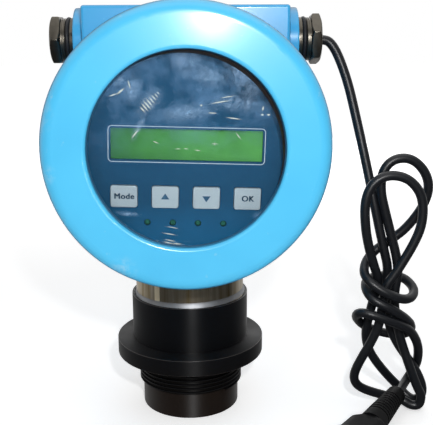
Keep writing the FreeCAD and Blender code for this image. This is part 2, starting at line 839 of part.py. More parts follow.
def entry_screw():
    """Hollow hexagon screw: thread in the boss, collar, seat of the ring, neck and hexagon."""
    counterbore_r = bush_d / 2 + bush_gap
    thread_r = entry_thread_d / 2
    core = turned_on_entry([
        (entry_bore_d / 2, entry_end_x, soft_edge),
        (entry_bore_d / 2, bush_end_x),
        (counterbore_r, bush_end_x),
        (counterbore_r, thread_end_x),
        (thread_r, thread_end_x),
        (thread_r, boss_x),
        (entry_collar_d / 2, boss_x, fine_edge),
        (entry_collar_d / 2, collar_x, fine_edge),
        (entry_ring_seat_d / 2, collar_x),
        (entry_ring_seat_d / 2, ring_x),
        (entry_neck_d / 2, ring_x, soft_edge),
        (entry_neck_d / 2, hex_x),
        (entry_neck_d / 2, entry_end_x),
    ])
    corner_r = entry_hex_af / math.sqrt(3)
    corners = []
    for i in range(7):
        angle = math.radians(60 * i + entry_hex_turn_deg)
        corners.append(Vector(hex_x, corner_r * math.sin(angle), entry_z + corner_r * math.cos(angle)))
    prism = Part.Face(Part.makePolygon(corners)).extrude(Vector(entry_hex_w, 0, 0))
    flat_r = entry_hex_af / 2
    chamfer_cone = turned_on_entry([
        (0, hex_x),
        (flat_r, hex_x),
        (corner_r, hex_x + (corner_r - flat_r) / 2),
        (corner_r, entry_end_x - entry_hex_chamfer),
        (flat_r - entry_hex_chamfer / 2, entry_end_x),
        (0, entry_end_x),
    ])
    bore_start = Vector(hex_x - over, 0, entry_z)
    bore = Part.makeCylinder(entry_bore_d / 2, entry_hex_w + 2 * over, bore_start, Vector(1, 0, 0))
    return core.fuse(prism.common(chamfer_cone).cut(bore)).removeSplitter()


def make_entries():
    screw = entry_screw()
    ring_r = entry_ring_seat_d / 2 + entry_ring_d / 2
    ring = Part.makeTorus(
        ring_r, entry_ring_d / 2, Vector(collar_x + entry_ring_d / 2, 0, entry_z), Vector(1, 0, 0))
    washer_bore_r = cable_d / 2 + washer_play
    washer = turned_on_entry([
        (washer_bore_r, thread_end_x),
        (bush_d / 2, thread_end_x),
        (bush_d / 2, thread_end_x + washer_t),
        (washer_bore_r, thread_end_x + washer_t),
    ])
    bush_x = thread_end_x + washer_t
    blank = Part.makeCylinder(bush_d / 2, bush_len, Vector(bush_x, 0, entry_z), Vector(1, 0, 0))
    hole_start = Vector(bush_x - over, 0, entry_z)
    hole = Part.makeCylinder(cable_d / 2 + cable_slip, bush_len + 2 * over, hole_start, Vector(1, 0, 0))
    middle = Vector(1, 0, 0)
    for number, bush, name in ((1, blank, "blank_bush"), (2, blank.cut(hole), "bush")):
        pieces = {"screw": screw, "o_ring": ring, "washer": washer, name: bush}
        for piece, shape in pieces.items():
            parts["entry_%d_%s" % (number, piece)] = shape.mirror(ORIGIN, middle) if number == 1 else shape


def hank_frame(outer, inner, middle_y, depth):
    """Flat loop of cable strands, from its outer and inner outlines in the upright plane."""
    front_y = middle_y - depth / 2
    outer_face, inner_face = [
        Part.Face(rounded_wire(outline, lambda p: Vector(p.x, front_y, p.y))) for outline in (outer, inner)
    ]
    along = Vector(0, depth, 0)
    return outer_face.extrude(along).cut(inner_face.extrude(along))


def make_cable():
    parts["cable_lead"] = cord_tube(lead_points, cable_d, "cable_lead")
    parts["cable_tail"] = cord_tube(tail_points, cable_d, "cable_tail")
    knot = Part.makeSphere(1.0)
    stretch = Matrix()
    stretch.scale(Vector(*knot_half))
    stretch.move(Vector(*knot_centre))
    knot = knot.transformGeometry(stretch)
    ears = hank_frame(ear_outer, ear_inner, ear_y, ear_depth)
    feet = hank_frame(foot_outer, foot_inner, foot_y, foot_depth)
    parts["cable_hank"] = ears.fuse([feet, knot])


def rounded_section(width, height, radius, s):
    """Upright rounded rectangle across the plug's own axis, s along it."""
    half_w = width / 2
    half_h = height / 2
    corners = [(sy * half_w, sz * half_h, radius) for sy, sz in ((-1, -1), (1, -1), (1, 1), (-1, 1))]
    return rounded_wire(corners, lambda p: Vector(s, p.x, p.y))


def make_plug():
    """Moulded plug in its own axes (s along the plug, from the cable to the pins), then laid down."""
    shoulder_s = relief_len + grip_shoulder_len
    flare_s = shoulder_s + grip_len
    barrel_s = flare_s + flare_len
    end_s = barrel_s + plug_body_len
    barrel_section = rounded_section(plug_w, plug_h, plug_round, barrel_s)
    grip = Part.makeLoft([
        rounded_section(*grip_rear, relief_len),
        rounded_section(*grip_shoulder, shoulder_s),
        rounded_section(*grip_front, flare_s),
        barrel_section,
    ], True, True)
    barrel = Part.Face(barrel_section).extrude(Vector(plug_body_len, 0, 0))
    end_edges = [e for e in barrel.Edges if e.BoundBox.XMin > end_s - 0.01]
    barrel = barrel.makeFillet(plug_edge, end_edges)
    pitch = (relief_len - relief_collar - relief_plain) / relief_ribs
    profile = [(0, 0), (relief_d / 2 - relief_taper, 0, relief_edge)]
    for i in range(relief_ribs):
        start = relief_collar + i * pitch
        rib_r = relief_d / 2 - relief_taper * (1 - start / relief_len)
        profile += [
            (rib_r, start),
            (rib_r - relief_rib_deep, start),
            (rib_r - relief_rib_deep, start + pitch - relief_rib_w),
            (rib_r, start + pitch - relief_rib_w),
        ]
    profile += [(relief_d / 2, relief_len + over), (0, relief_len + over)]
    relief_face = Part.Face(rounded_wire(profile, lambda p: Vector(p.y, p.x, 0)))
    relief = relief_face.revolve(ORIGIN, Vector(1, 0, 0), 360)
    body = barrel.fuse([grip, relief])
    pins = {
        "plug_pin_live": (-pin_spread, pin_rise, pin_lean_deg),
        "plug_pin_neutral": (pin_spread, pin_rise, -pin_lean_deg),
        "plug_pin_earth": (0, -earth_drop, 0),
    }
    slots = []
    for name, (across, rise, lean) in pins.items():
        blade_corner = Vector(end_s - pin_sunk, -pin_t / 2, -pin_w / 2)
        blade = Part.makeBox(pin_len + pin_sunk, pin_t, pin_w, blade_corner)
        tip_edges = [e for e in blade.Edges if e.BoundBox.XMin > end_s + pin_len - 0.01]
        blade = blade.makeChamfer(pin_edge, tip_edges)
        slot = Part.makeBox(
            pin_len, pin_t + 2 * pin_fit, pin_w + 2 * pin_fit,
            Vector(end_s - pin_sunk, -pin_t / 2 - pin_fit, -pin_w / 2 - pin_fit))
        for shape in (blade, slot):
            shape.rotate(ORIGIN, Vector(1, 0, 0), lean)
            shape.translate(Vector(0, across, rise))
        parts[name] = blade
        slots.append(slot)
    parts["plug_body"] = body.cut(slots).removeSplitter()
    lay_down = FreeCAD.Placement(
        Vector(plug_tip[0], plug_tip[1], plug_axis_z), Rotation(SENSOR_AXIS, plug_heading_deg))
    for name in ["plug_body"] + list(pins):
        parts[name].Placement = lay_down.multiply(parts[name].Placement)


make_sensor()
make_neck()
make_housing()
make_cover()
make_panel()
make_lcd()
make_display_board()
make_keys()
make_leds()
make_main_board()
make_entries()
make_cable()
make_plug()

os.makedirs("parts", exist_ok=True)
for node, shape in parts.items():
    state = "valid" if shape.isValid() else "NOT VALID"
    print(node, state, len(shape.Solids), "solids", round(shape.Volume / 1000, 2), "cm3")
    shape.exportStep("parts/" + node + ".step")
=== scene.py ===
# %% [markdown]
# # An ultrasonic open channel flow meter
#
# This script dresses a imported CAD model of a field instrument: a blue transmitter head with a window, on
# a steel neck, on a black ultrasonic sensor, with its mains cable tied in a hank beside it. The CAD
# model brings every rigid piece at its real size and place, so here we add the camera, the light, the
# cable's curve, the screw threads, the print and the finishes. Blender measures in metres, so sizes that
# are known in millimetres are multiplied by `mm`.

# %% Load the CAD frame
import json
from math import pi, radians

import bpy
from mathutils import Matrix, Vector


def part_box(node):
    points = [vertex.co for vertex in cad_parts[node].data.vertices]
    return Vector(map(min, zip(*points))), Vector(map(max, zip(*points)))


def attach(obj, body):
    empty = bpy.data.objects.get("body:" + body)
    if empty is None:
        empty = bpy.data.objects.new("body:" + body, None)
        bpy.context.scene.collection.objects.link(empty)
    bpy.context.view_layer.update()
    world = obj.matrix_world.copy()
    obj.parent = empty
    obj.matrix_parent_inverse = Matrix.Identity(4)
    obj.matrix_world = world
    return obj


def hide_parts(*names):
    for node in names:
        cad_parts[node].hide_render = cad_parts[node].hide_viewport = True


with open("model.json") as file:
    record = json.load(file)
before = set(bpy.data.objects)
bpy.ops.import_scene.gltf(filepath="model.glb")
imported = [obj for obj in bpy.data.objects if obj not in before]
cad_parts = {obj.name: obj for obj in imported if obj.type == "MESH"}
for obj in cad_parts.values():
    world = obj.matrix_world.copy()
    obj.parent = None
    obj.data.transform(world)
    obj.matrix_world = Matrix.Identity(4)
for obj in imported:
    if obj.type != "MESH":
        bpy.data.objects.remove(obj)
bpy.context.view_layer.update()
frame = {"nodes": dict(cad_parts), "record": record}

mm = 0.001
nodes = frame["nodes"]

# %% [markdown]
# ## Camera
#
# The photograph was taken from close by and a little above, so near things look larger and the head
# leans towards us. The lens and the place come from fitting the ellipses of the ring, the flange and the
# sensor. A close camera with the right place matters more for the likeness than any material.

# %% Camera
camera_place = (5.8 * mm, -432.5 * mm, 184 * mm)
tilt_down, turn_right, roll = radians(13.43), radians(1.3), radians(0.25)
lens_mm = 65.37
bpy.ops.object.camera_add(location=camera_place, rotation=(pi / 2 - tilt_down, 0, -turn_right))
camera = bpy.context.object
camera.rotation_euler.rotate_axis("Z", -roll)
camera.data.lens = lens_mm
camera.data.clip_start = 10 * mm
bpy.context.scene.camera = camera
bpy.context.scene.view_settings.view_transform = "Standard"
print("camera", [round(v, 3) for v in camera.location], "lens", round(camera.data.lens, 1), "mm")

# %% [markdown]
# ## Nodes and colours
#
# Every material below is a small tree of nodes. Writing `nodes.new`, setting sockets and linking them is
# the same three steps each time, so one function does it: it adds a node, sets its properties, and fills
# its sockets with plain values or with the outputs of other nodes. Colours are written as they would be
# read off a screen and turned into the linear values that Blender calculates with.

# %% Helpers for materials
def linear(code):
    """A screen colour such as "#47BAEB" as linear red, green, blue and alpha."""
    parts = [int(code[i:i + 2], 16) / 255 for i in (1, 3, 5)]
    return (*[v / 12.92 if v <= 0.04045 else ((v + 0.055) / 1.055) ** 2.4 for v in parts], 1)


def add(tree, kind, sockets=(), **settings):
    """Adds a shader node, sets its properties, and fills its sockets with values or other nodes' outputs."""
    node = tree.nodes.new("ShaderNode" + kind)
    for name, value in settings.items():
        setattr(node, name, value)
    for name, value in dict(sockets).items():
        if isinstance(value, bpy.types.NodeSocket):
            tree.links.new(value, node.inputs[name])
        else:
            node.inputs[name].default_value = value
    return node


def finish(name, colour, roughness, metallic=0.0):
    """A new material with one Principled shader. Returns the material, its tree and the shader."""
    material = bpy.data.materials.new(name)
    material.use_nodes = True
    shader = material.node_tree.nodes["Principled BSDF"]
    shader.inputs["Base Color"].default_value = linear(colour)
    shader.inputs["Roughness"].default_value = roughness
    shader.inputs["Metallic"].default_value = metallic
    return material, material.node_tree, shader


print("blue paint in linear light", [round(v, 3) for v in linear("#47BAEB")])

# %% [markdown]
# ## The floor
#
# The photograph is a product picture on white. A white floor lies at the sensor's face and catches a soft
# shadow. It glows for the camera, and more so further out, which keeps the edges of the picture white and
# the shadow near the object. Mirrors and glass don't see the floor, so they show the room instead.

# %% Floor
floor_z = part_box("sensor_body")[0].z
pure_white = linear("#FFFFFF")
bpy.ops.mesh.primitive_plane_add(size=8, location=(0, 0, floor_z))
floor = bpy.context.object
floor.name = "studio_floor"
# white paper: quite dull, so that only the shadow marks it
white_floor, tree, shader = finish("white_paper", "#FFFFFF", 0.9)
shader.inputs["Emission Color"].default_value = pure_white
shader.inputs["Specular IOR Level"].default_value = 0.0
ray = add(tree, "LightPath")
reach = add(tree, "VectorMath", {0: add(tree, "TexCoord").outputs["Object"]}, operation="LENGTH")
paper_glow = add(tree, "MapRange", {
    "Value": reach.outputs["Value"], "From Min": 0.25, "From Max": 1.2, "To Min": 0.4, "To Max": 0.8,
})
seen_glow = add(tree, "Math", {
    0: paper_glow.outputs[0], 1: ray.outputs["Is Camera Ray"],
}, operation="MULTIPLY")
tree.links.new(seen_glow.outputs[0], shader.inputs["Emission Strength"])
floor.data.materials.append(white_floor)
floor.visible_glossy = False
floor.visible_transmission = False
print("floor at", round(floor_z / mm, 1), "mm")

# %% [markdown]
# ## The room
#
# To the camera the world is white. A mirror-like surface sees a room that is pale behind and above the
# object, dimmer on the right and dark in front, and that gives the steel and the black plastic their dark
# middles and pale edges. As a source of light the world is dimmer, so that it fills the shadows without
# washing them out. A Light Path node tells these three kinds of ray apart.

# %% Room
world = bpy.data.worlds.new("white_studio")
bpy.context.scene.world = world
world.use_nodes = True
tree = world.node_tree
ray = add(tree, "LightPath")
way = add(tree, "TexCoord").outputs["Generated"]
behind_and_above = (-0.25, 1, 0.9)
bright_side = add(tree, "VectorMath", {0: way, 1: behind_and_above}, operation="DOT_PRODUCT")
room = add(tree, "MapRange", {
    "Value": bright_side.outputs["Value"],
    "From Min": -0.35, "From Max": 0.6, "To Min": 0.07, "To Max": 0.65,
})
mirrored = add(tree, "Math", {
    0: ray.outputs["Is Glossy Ray"], 1: ray.outputs["Is Transmission Ray"],
}, operation="MAXIMUM")
fill_level, white_level = 0.26, 1.0
level = add(tree, "Mix", {0: mirrored.outputs[0], 2: fill_level, 3: room.outputs[0]})
level = add(tree, "Mix", {0: ray.outputs["Is Camera Ray"], 2: level.outputs[0], 3: white_level})
background = tree.nodes["Background"]
background.inputs["Color"].default_value = pure_white
tree.links.new(level.outputs[0], background.inputs["Strength"])
print("the room fills with", fill_level, "and shows the camera", white_level)

# %% [markdown]
# ## The lamps
#
# Three small lamps stand near the lens: the flash, a little above and to the right, throws the lip's
# shadow on the panel, the second gives the pale glare at the top of the ring, and the third, to the left,
# softens the shadows and leaves no reflection of its own. A large lamp above lights the floor and the
# top, and another behind keeps the back from going dull when the model is turned round.

# %% Lamps
# each lamp has a place and a size in metres, a turn in degrees about X and about Z, and its watts
for name, place, (tilt, swing), size, power in (
    ("flash", (0.050, -0.45, 0.266), (72, 6), 0.025, 0.98),
    ("glare_lamp", (0.020, -0.47, 0.196), (82, 2), 0.045, 0.3),
    ("left_lamp", (-0.17, -0.45, 0.24), (75, -20), 0.08, 0.14),
    ("overhead", (0.1, 0.1, 1.2), (0, 0), 1.6, 3.2),
    ("back_lamp", (0.2, 0.95, 0.45), (-72, -12), 1.0, 2.6),
):
    bpy.ops.object.light_add(type="AREA", location=place, rotation=(radians(tilt), 0, radians(swing)))
    lamp = bpy.context.object
    lamp.name = name
    lamp.data.shape = "DISK"
    lamp.data.size = size
    lamp.data.energy = power
    lamp.visible_glossy = name != "left_lamp"
    print(name, power, "W from", place)

# %% [markdown]
# ## The way of the mains cable
#
# The cable is one flexible thing, so it is one smooth curve: out of the entry, down into the hank,
# through the knot four times as the strands of two ears and two feet, three turns round the knot, and
# down to the plug. The points were placed strand by strand against the photograph, and each has a depth
# of its own, so that strands pass in front of and behind each other.

# %% Way of the cable
# x, y and z in millimetres
cable_route = [
    # from the entry down to the knot
    (62, 0, 176.3), (71.5, 0, 176.3), (78.6, 0, 174.8), (86.4, -3.5, 156), (91.8, -8, 133),
    (96.6, -12.5, 111.5), (100.8, -16, 91.5), (104.9, -17.5, 73), (108, -18, 60.9), (110.2, -17.8, 52.6),
    (109.8, -16.4, 44), (110.6, -15.2, 30),
    # the rear foot, from right to left
    (113.2, -14.2, 17), (118, -14.8, 6.5), (128.2, -16.6, -7.4), (131.8, -17.4, -14.2),
    (133.8, -17.3, -20.4), (133.4, -16.6, -26.4), (129.6, -14.4, -29.2), (125.8, -11.4, -27.6),
    (122.2, -9, -23.4), (117.3, -9.4, -18.3), (111.6, -12.4, -11.3), (105.4, -15, -2.9),
    (101.6, -15.6, 3.9), (99.9, -15.6, 10.7), (99.7, -17.2, 18.6), (102.2, -18.4, 32),
    (103.8, -19.4, 41), (104.3, -21.5, 47.2),
    # the front ear
    (101.3, -22.5, 55.1), (98.1, -23.8, 64.6), (95.3, -25, 76.2), (94, -25.5, 90.7),
    (96.8, -25.5, 100.4), (102.8, -25.5, 105.2), (109.6, -25.5, 106.3), (117.2, -25.5, 104),
    (123.4, -25.5, 97.5), (125.8, -25.5, 89.3), (125.4, -25.5, 78.2), (122.1, -25.2, 68.9),
    (117.6, -25, 60), (112.3, -25, 50.8), (107.6, -25, 44.5),
    # the front foot, from left to right
    (106.4, -25, 33), (105.3, -24.6, 22.3), (101.7, -24, 12.1), (97, -23, 2.4), (93.5, -22, -5.9),
    (92.7, -20.8, -12), (95.2, -19.6, -17), (100.3, -18.6, -20.3), (106.5, -17.4, -23),
    (112.7, -16.6, -25.2), (118.4, -17.2, -26.7), (121.8, -20, -26.2), (126.4, -21.4, -29.2),
    (131, -22.4, -28.6), (131.8, -22.8, -22.4), (129.6, -22.8, -18.4), (127.2, -22.6, -12.9),
    (124, -22.2, -4.5), (121, -20.6, 4.3), (118.1, -20, 12.9), (114.6, -19.6, 28),
    # the rear ear, and behind the strands to the left
    (114, -19.6, 40), (115.8, -19.4, 50.5), (114, -18.8, 61), (110.8, -18.6, 71.5), (106.6, -18.6, 86.2),
    (104.2, -18.6, 95.1), (104, -18.6, 104.5), (107, -18.6, 111), (112.5, -18.6, 114.2),
    (119.6, -18.6, 113.9), (125.8, -18.4, 109.1), (129.6, -18, 102.5), (130.5, -17.2, 95.7),
    (129, -16, 88.7), (125.2, -14.4, 80.8), (119.5, -12.4, 72.6), (112.8, -11.2, 66.9),
    (105.2, -11, 61.8), (99.8, -13.5, 57.3),
    # three turns round the knot
    (96.7, -18.5, 53.6), (95.8, -24, 50.8), (97.5, -28.5, 48.3), (102.6, -31, 44.7), (107.9, -32, 41.8),
    (114.5, -31, 38.8), (120.2, -27.5, 37.5), (124.1, -22.5, 38.3), (125.2, -17.5, 40.4),
    (123.6, -13, 42.5), (120.8, -9.8, 44.2), (115.8, -8, 44.7), (109.4, -7.8, 44.8),
    (103.2, -10.4, 44.8), (98.8, -15.2, 44.1), (97.3, -20.8, 42.8), (97.6, -26.2, 40.6),
    (100, -29.8, 38.2), (104, -31.6, 36.2), (108.6, -32, 33.9), (114, -31, 30.4), (119, -27.8, 26.2),
    (123.3, -22.8, 21.2), (125.3, -16.8, 15.4), (123.6, -11.6, 10.8), (119, -9.2, 9.4), (113, -8.4, 10),
    (106, -8.8, 12.2), (99.8, -11.4, 16), (95, -16.6, 21.2), (92.3, -22.4, 26.2), (92.6, -27, 29.6),
    (95, -29.8, 30.7), (98.6, -31.4, 30.3), (102.5, -32, 29.2), (107.8, -32.2, 27.3),
    (114.4, -31.2, 24.3), (120.9, -28.2, 20.1),
    # the tail down to the plug
    (125, -24.2, 14.8), (128.9, -19.6, 7.4), (130.7, -15.6, -0.5), (130.8, -12.4, -8.1),
    (129.3, -9.6, -13.4), (126.8, -9.4, -18), (122.2, -15, -21), (117.2, -23, -21.3),
    (115.5, -25.7, -21.3),
]
print(len(cable_route), "points in the cable")

# %% [markdown]
# ## The cable as a curve
#
# A NURBS curve is drawn towards its points without passing through them, and that gives the soft bends of
# a cable. Its order is set after the points are there, because before that it can't be higher than the
# number of points. Each point carries the cable's radius and the bevel is 1 deep, so that the curve's own
# box is as large as the cable.

# %% Mains cable
cable_d = 5.2 * mm
curve = bpy.data.curves.new("mains_cable", "CURVE")
curve.dimensions = "3D"
spline = curve.splines.new("NURBS")
spline.points.add(len(cable_route) - 1)
for point, place in zip(spline.points, cable_route):
    point.co = (*[v * mm for v in place], 1)
    point.radius = cable_d / 2
spline.order_u = 3
spline.use_endpoint_u = True
spline.resolution_u = 8
curve.bevel_depth = 1
curve.bevel_resolution = 5
curve.use_fill_caps = True
cable = bpy.data.objects.new("mains_cable", curve)
bpy.context.collection.objects.link(cable)
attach(cable, "housing")
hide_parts("cable_lead", "cable_hank", "cable_tail")

# %% [markdown]
# ## Helpers for new pieces
#
# Most new pieces on this instrument are round. A lathe gives every step of such a piece by moving the tool
# to a new radius and height, and we do the same: a circle is drawn out ring by ring to the next radius and
# height of the profile. Doubles are merged where a profile closes on itself, and then the normals are
# turned outwards. Naming a new piece and applying a modifier also come up again and again.

# %% Helpers for new pieces
def keep(name):
    """Names the piece that was just added and returns it."""
    piece = bpy.context.object
    piece.name = piece.data.name = name
    return piece


def apply(piece, kind, **settings):
    """Adds a modifier of this kind with its settings and applies it at once."""
    modifier = piece.modifiers.new(kind, kind)
    for name, value in settings.items():
        setattr(modifier, name, value)
    bpy.context.view_layer.objects.active = piece
    bpy.ops.object.modifier_apply(modifier=modifier.name)


points_round = 144


def turned(name, rings):
    """A piece drawn out ring by ring. A row has a radius, a height, and maybe the ring's own middle."""
    bpy.ops.object.select_all(action="DESELECT")
    radius, *place = rings[0]
    height, x, y = (*place, 0, 0)[:3]
    start = (x * mm, y * mm, height * mm)
    bpy.ops.mesh.primitive_circle_add(vertices=points_round, radius=radius * mm, location=start)
    piece = keep(name)
    bpy.ops.object.mode_set(mode="EDIT")
    bpy.ops.mesh.select_all(action="SELECT")
    for next_radius, *place in rings[1:]:
        next_height, next_x, next_y = (*place, 0, 0)[:3]
        step = ((next_x - x) * mm, (next_y - y) * mm, (next_height - height) * mm)
        bpy.ops.mesh.extrude_region_move(TRANSFORM_OT_translate={"value": step})
        bpy.ops.transform.resize(value=(next_radius / radius, next_radius / radius, 1))
        radius, height, x, y = next_radius, next_height, next_x, next_y
    bpy.ops.mesh.select_all(action="SELECT")
    bpy.ops.mesh.remove_doubles(threshold=0.01 * mm)
    bpy.ops.mesh.normals_make_consistent(inside=False)
    bpy.ops.object.mode_set(mode="OBJECT")
    bpy.ops.object.transform_apply(location=True, rotation=True, scale=True)
    print(name, len(piece.data.polygons), "faces")
    return piece


print("round pieces have", points_round, "points round")

# %% [markdown]
# ## The turned sensor body
#
# The sensor body is turned from a black plastic bar: a sleeve, the root of a pipe thread, a flange, a
# groove and a cup. The Bevel modifier breaks its sharp edges, because a real turned edge always has a thin
# bright line of light on it.

# %% Sensor body, ring by ring
# radii and heights in millimetres; the flange rests on its pipe at height 0
bore, sleeve, thread_root, flange, groove, cup, cup_bore = 23.7, 27.7, 28.2, 42.0, 32.3, 33.1, 31.8
sensor_face, thread_foot, flange_top, cup_foot, cup_floor, cup_rim = -31.8, -17.5, 8.9, 10.5, 23.2, 35.2
sensor = turned("turned_sensor_body", [
    (bore, sensor_face), (sleeve, sensor_face), (sleeve, thread_foot), (thread_root, thread_foot),
    (thread_root, 0), (flange, 0), (flange, flange_top), (groove, flange_top), (groove, cup_foot),
    (cup, cup_foot), (cup, cup_rim), (cup_bore, cup_rim), (cup_bore, cup_floor), (bore, cup_floor),
    (bore, sensor_face),
])
apply(sensor, "BEVEL", width=0.5 * mm, segments=3, limit_method="ANGLE", angle_limit=radians(40))

# %% [markdown]
# ## The bright foot of the neck
#
# Where the steel neck goes into the cup, its foot flares out in a small cove that catches the light from
# above as a bright ring. It is drawn out in the same way, from the wall of the neck to the edge of the
# cup. The weld was laid by hand and stands a little higher on the right, so the ring is tipped by a
# degree.

# %% Foot of the neck
def about(middle, turn):
    """A turn that is made about this point instead of the origin."""
    return Matrix.Translation(middle) @ turn @ Matrix.Translation(-middle)


neck_foot = turned("neck_foot", [
    (30.72, 37.7), (30.8, 37.2), (31.1, 36.4), (31.5, 35.5), (31.75, 34.95), (30.5, 34.9), (30.5, 37.7),
    (30.72, 37.7),
])
foot_middle = Vector((0, 0, 36 * mm))
neck_foot.data.transform(about(foot_middle, Matrix.Rotation(radians(-1.2), 4, "Y")))
bpy.ops.object.shade_smooth_by_angle(angle=radians(50))
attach(neck_foot, "housing")

# %% [markdown]
# ## A screw thread
#
# A thread is one ridge that climbs round the axis. Its section is a small trapezium, made from a plane
# whose outer edge is pinched, and the Screw modifier carries that outline round and up by one pitch for
# each turn. Two cuts trim the ends flat.

# %% Helper for a screw thread
# how much of the pitch the ridge takes up at its root, and how much of that is left at its crest
root_share, crest_share = 0.86, 0.22
steps_round = 120


def screw_ridge(name, root, crest, pitch, foot, top):
    """A screw thread round Z between two heights, in millimetres."""
    bpy.ops.object.select_all(action="DESELECT")
    middle, deep = (root + crest) / 2, crest - root
    start = (middle * mm, 0, (foot - pitch) * mm)
    bpy.ops.mesh.primitive_plane_add(size=1, location=start, rotation=(pi / 2, 0, 0))
    ridge = keep(name)
    ridge.scale = (deep * mm, root_share * pitch * mm, 1)
    bpy.ops.object.transform_apply(location=True, rotation=True, scale=True)
    for vertex in ridge.data.vertices:
        vertex.select = vertex.co.x > middle * mm
    bpy.ops.object.mode_set(mode="EDIT")
    bpy.ops.transform.resize(value=(1, 1, crest_share))
    bpy.ops.mesh.select_all(action="SELECT")
    bpy.ops.mesh.delete(type="ONLY_FACE")
    bpy.ops.object.mode_set(mode="OBJECT")
    turns = int((top - foot) / pitch) + 3
    apply(ridge, "SCREW", axis="Z", angle=2 * pi, screw_offset=pitch * mm, iterations=turns,
          steps=steps_round, render_steps=steps_round, use_merge_vertices=False)
    bpy.ops.object.mode_set(mode="EDIT")
    for cut, above in ((foot, False), (top, True)):
        bpy.ops.mesh.select_all(action="SELECT")
        bpy.ops.mesh.bisect(plane_co=(0, 0, cut * mm), plane_no=(0, 0, 1), use_fill=True, clear_outer=above,
                            clear_inner=not above)
    bpy.ops.mesh.select_all(action="SELECT")
    bpy.ops.mesh.normals_make_consistent(inside=False)
    bpy.ops.object.mode_set(mode="OBJECT")
    print(name, turns, "turns made,", len(ridge.data.polygons), "faces kept")
    return ridge


print("a ridge has", steps_round, "steps in each turn")

# %% [markdown]
# ## The pipe thread
#
# The thread under the flange is a G2 pipe thread with a pitch of 2.309 mm. Its ridge starts a little inside
# the sensor's wall, so that no gap shows, and is joined to the sensor as one piece.

# %% Pipe thread
pipe_crest, pipe_pitch = 29.75, 2.309
pipe_thread = screw_ridge("pipe_thread", thread_root - 0.3, pipe_crest, pipe_pitch, thread_foot + 0.1, 0)
bpy.ops.object.select_all(action="DESELECT")
pipe_thread.select_set(True)
sensor.select_set(True)
bpy.context.view_layer.objects.active = sensor
bpy.ops.object.join()
bpy.ops.object.shade_smooth_by_angle(angle=radians(35))
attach(sensor, "housing")
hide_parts("sensor_body")
print("sensor with its thread", len(sensor.data.polygons), "faces")

# %% [markdown]
# ## The entry threads
#
# The short necks of the two cable entries carry a finer thread. It is made round Z in the same way and then
# laid over on its side, once to the left and once to the right.

# %% Entry threads
entry_axis = Vector((0, 0, 176.3 * mm))
entry_root, entry_crest, entry_pitch = 10.8, 11.45, 1.0
entry_start, entry_end = 63.4, 66.2
entry_metal = []
for side, name in ((-1, "entry_1_thread"), (1, "entry_2_thread")):
    ridge = screw_ridge(name, entry_root, entry_crest, entry_pitch, entry_start, entry_end)
    ridge.data.transform(Matrix.Translation(entry_axis) @ Matrix.Rotation(side * pi / 2, 4, "Y"))
    bpy.ops.object.shade_smooth_by_angle(angle=radians(35))
    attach(ridge, "housing")
    entry_metal.append(ridge)

# %% [markdown]
# ## The entry screws
#
# A screw stops wherever it happens to be tight, so the two hexagons show different flats: the left one
# turns an edge to us, the right one a flat that looks a little down. Each is a copy of its CAD screw,
# merged, freed of the lines between its triangles, and turned about the axis of the entries. The Bevel
# modifier rounds the corners of the hexagon, and these thin rounds catch the light as bright lines.

# %% Entry screws as they were tightened
for name, turn in (("entry_1_screw", -17), ("entry_2_screw", 27.5)):
    bpy.ops.object.select_all(action="DESELECT")
    screw = bpy.data.objects.new("tightened_" + name, nodes[name].data.copy())
    bpy.context.collection.objects.link(screw)
    screw.select_set(True)
    bpy.context.view_layer.objects.active = screw
    bpy.ops.object.mode_set(mode="EDIT")
    bpy.ops.mesh.select_all(action="SELECT")
    bpy.ops.mesh.remove_doubles(threshold=0.002 * mm)
    bpy.ops.mesh.dissolve_limited(angle_limit=radians(0.5))
    bpy.ops.object.mode_set(mode="OBJECT")
    screw.data.transform(about(entry_axis, Matrix.Rotation(radians(turn), 4, "X")))
    apply(screw, "BEVEL", width=0.5 * mm, segments=3, limit_method="ANGLE", angle_limit=radians(50),
          use_clamp_overlap=False)
    bpy.ops.object.shade_smooth_by_angle(angle=radians(35))
    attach(screw, "housing")
    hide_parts(name)
    entry_metal.append(screw)
    print(screw.name, "turned by", turn, "degrees,", len(screw.data.polygons), "faces")

# %% [markdown]
# ## Print on the front panel
#
# The panel is printed with a thin white frame round the display. A plane gets rounded corners by
# bevelling its corner points, an inset of the line's width makes a rim, and the face inside the rim is
# deleted. The whole display was fitted a little crooked: it hangs 1.8 degrees clockwise, so every flat
# piece on it is turned about the head's axis.

# %% Display outline
head_axis = Vector((0, 0, 125.3 * mm))
crooked = about(head_axis, Matrix.Rotation(radians(1.8), 4, "Y"))
upright = Matrix.Rotation(pi / 2, 4, "X")


def lay_on_panel(piece, x, y, z):
    """Stands a flat piece up to face the reader, at this place on the crooked panel, in millimetres."""
    piece.data.transform(crooked @ Matrix.Translation((x * mm, y * mm, z * mm)) @ upright)


panel_front, display_z = -47.2, 126.5
outline_wide, outline_high, outline_corner = 77.5 * mm, 18.1 * mm, 2 * mm
line_width, ink_height = 0.4 * mm, 0.06 * mm
bpy.ops.object.select_all(action="DESELECT")
bpy.ops.mesh.primitive_plane_add(size=1)
outline = keep("display_outline")
outline.scale = (outline_wide, outline_high, 1)
bpy.ops.object.transform_apply(location=True, rotation=True, scale=True)
bpy.ops.object.mode_set(mode="EDIT")
bpy.ops.mesh.select_all(action="SELECT")
bpy.ops.mesh.bevel(offset=outline_corner, segments=6, affect="VERTICES")
bpy.ops.mesh.select_all(action="SELECT")
bpy.ops.mesh.inset(thickness=line_width)
bpy.ops.mesh.delete(type="FACE")
bpy.ops.mesh.select_all(action="SELECT")
bpy.ops.mesh.extrude_region_move(TRANSFORM_OT_translate={"value": (0, 0, ink_height)})
bpy.ops.object.mode_set(mode="OBJECT")
lay_on_panel(outline, 0, panel_front, display_z)
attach(outline, "housing")
print("outline", [round(v * 1000, 1) for v in outline.dimensions], "mm")

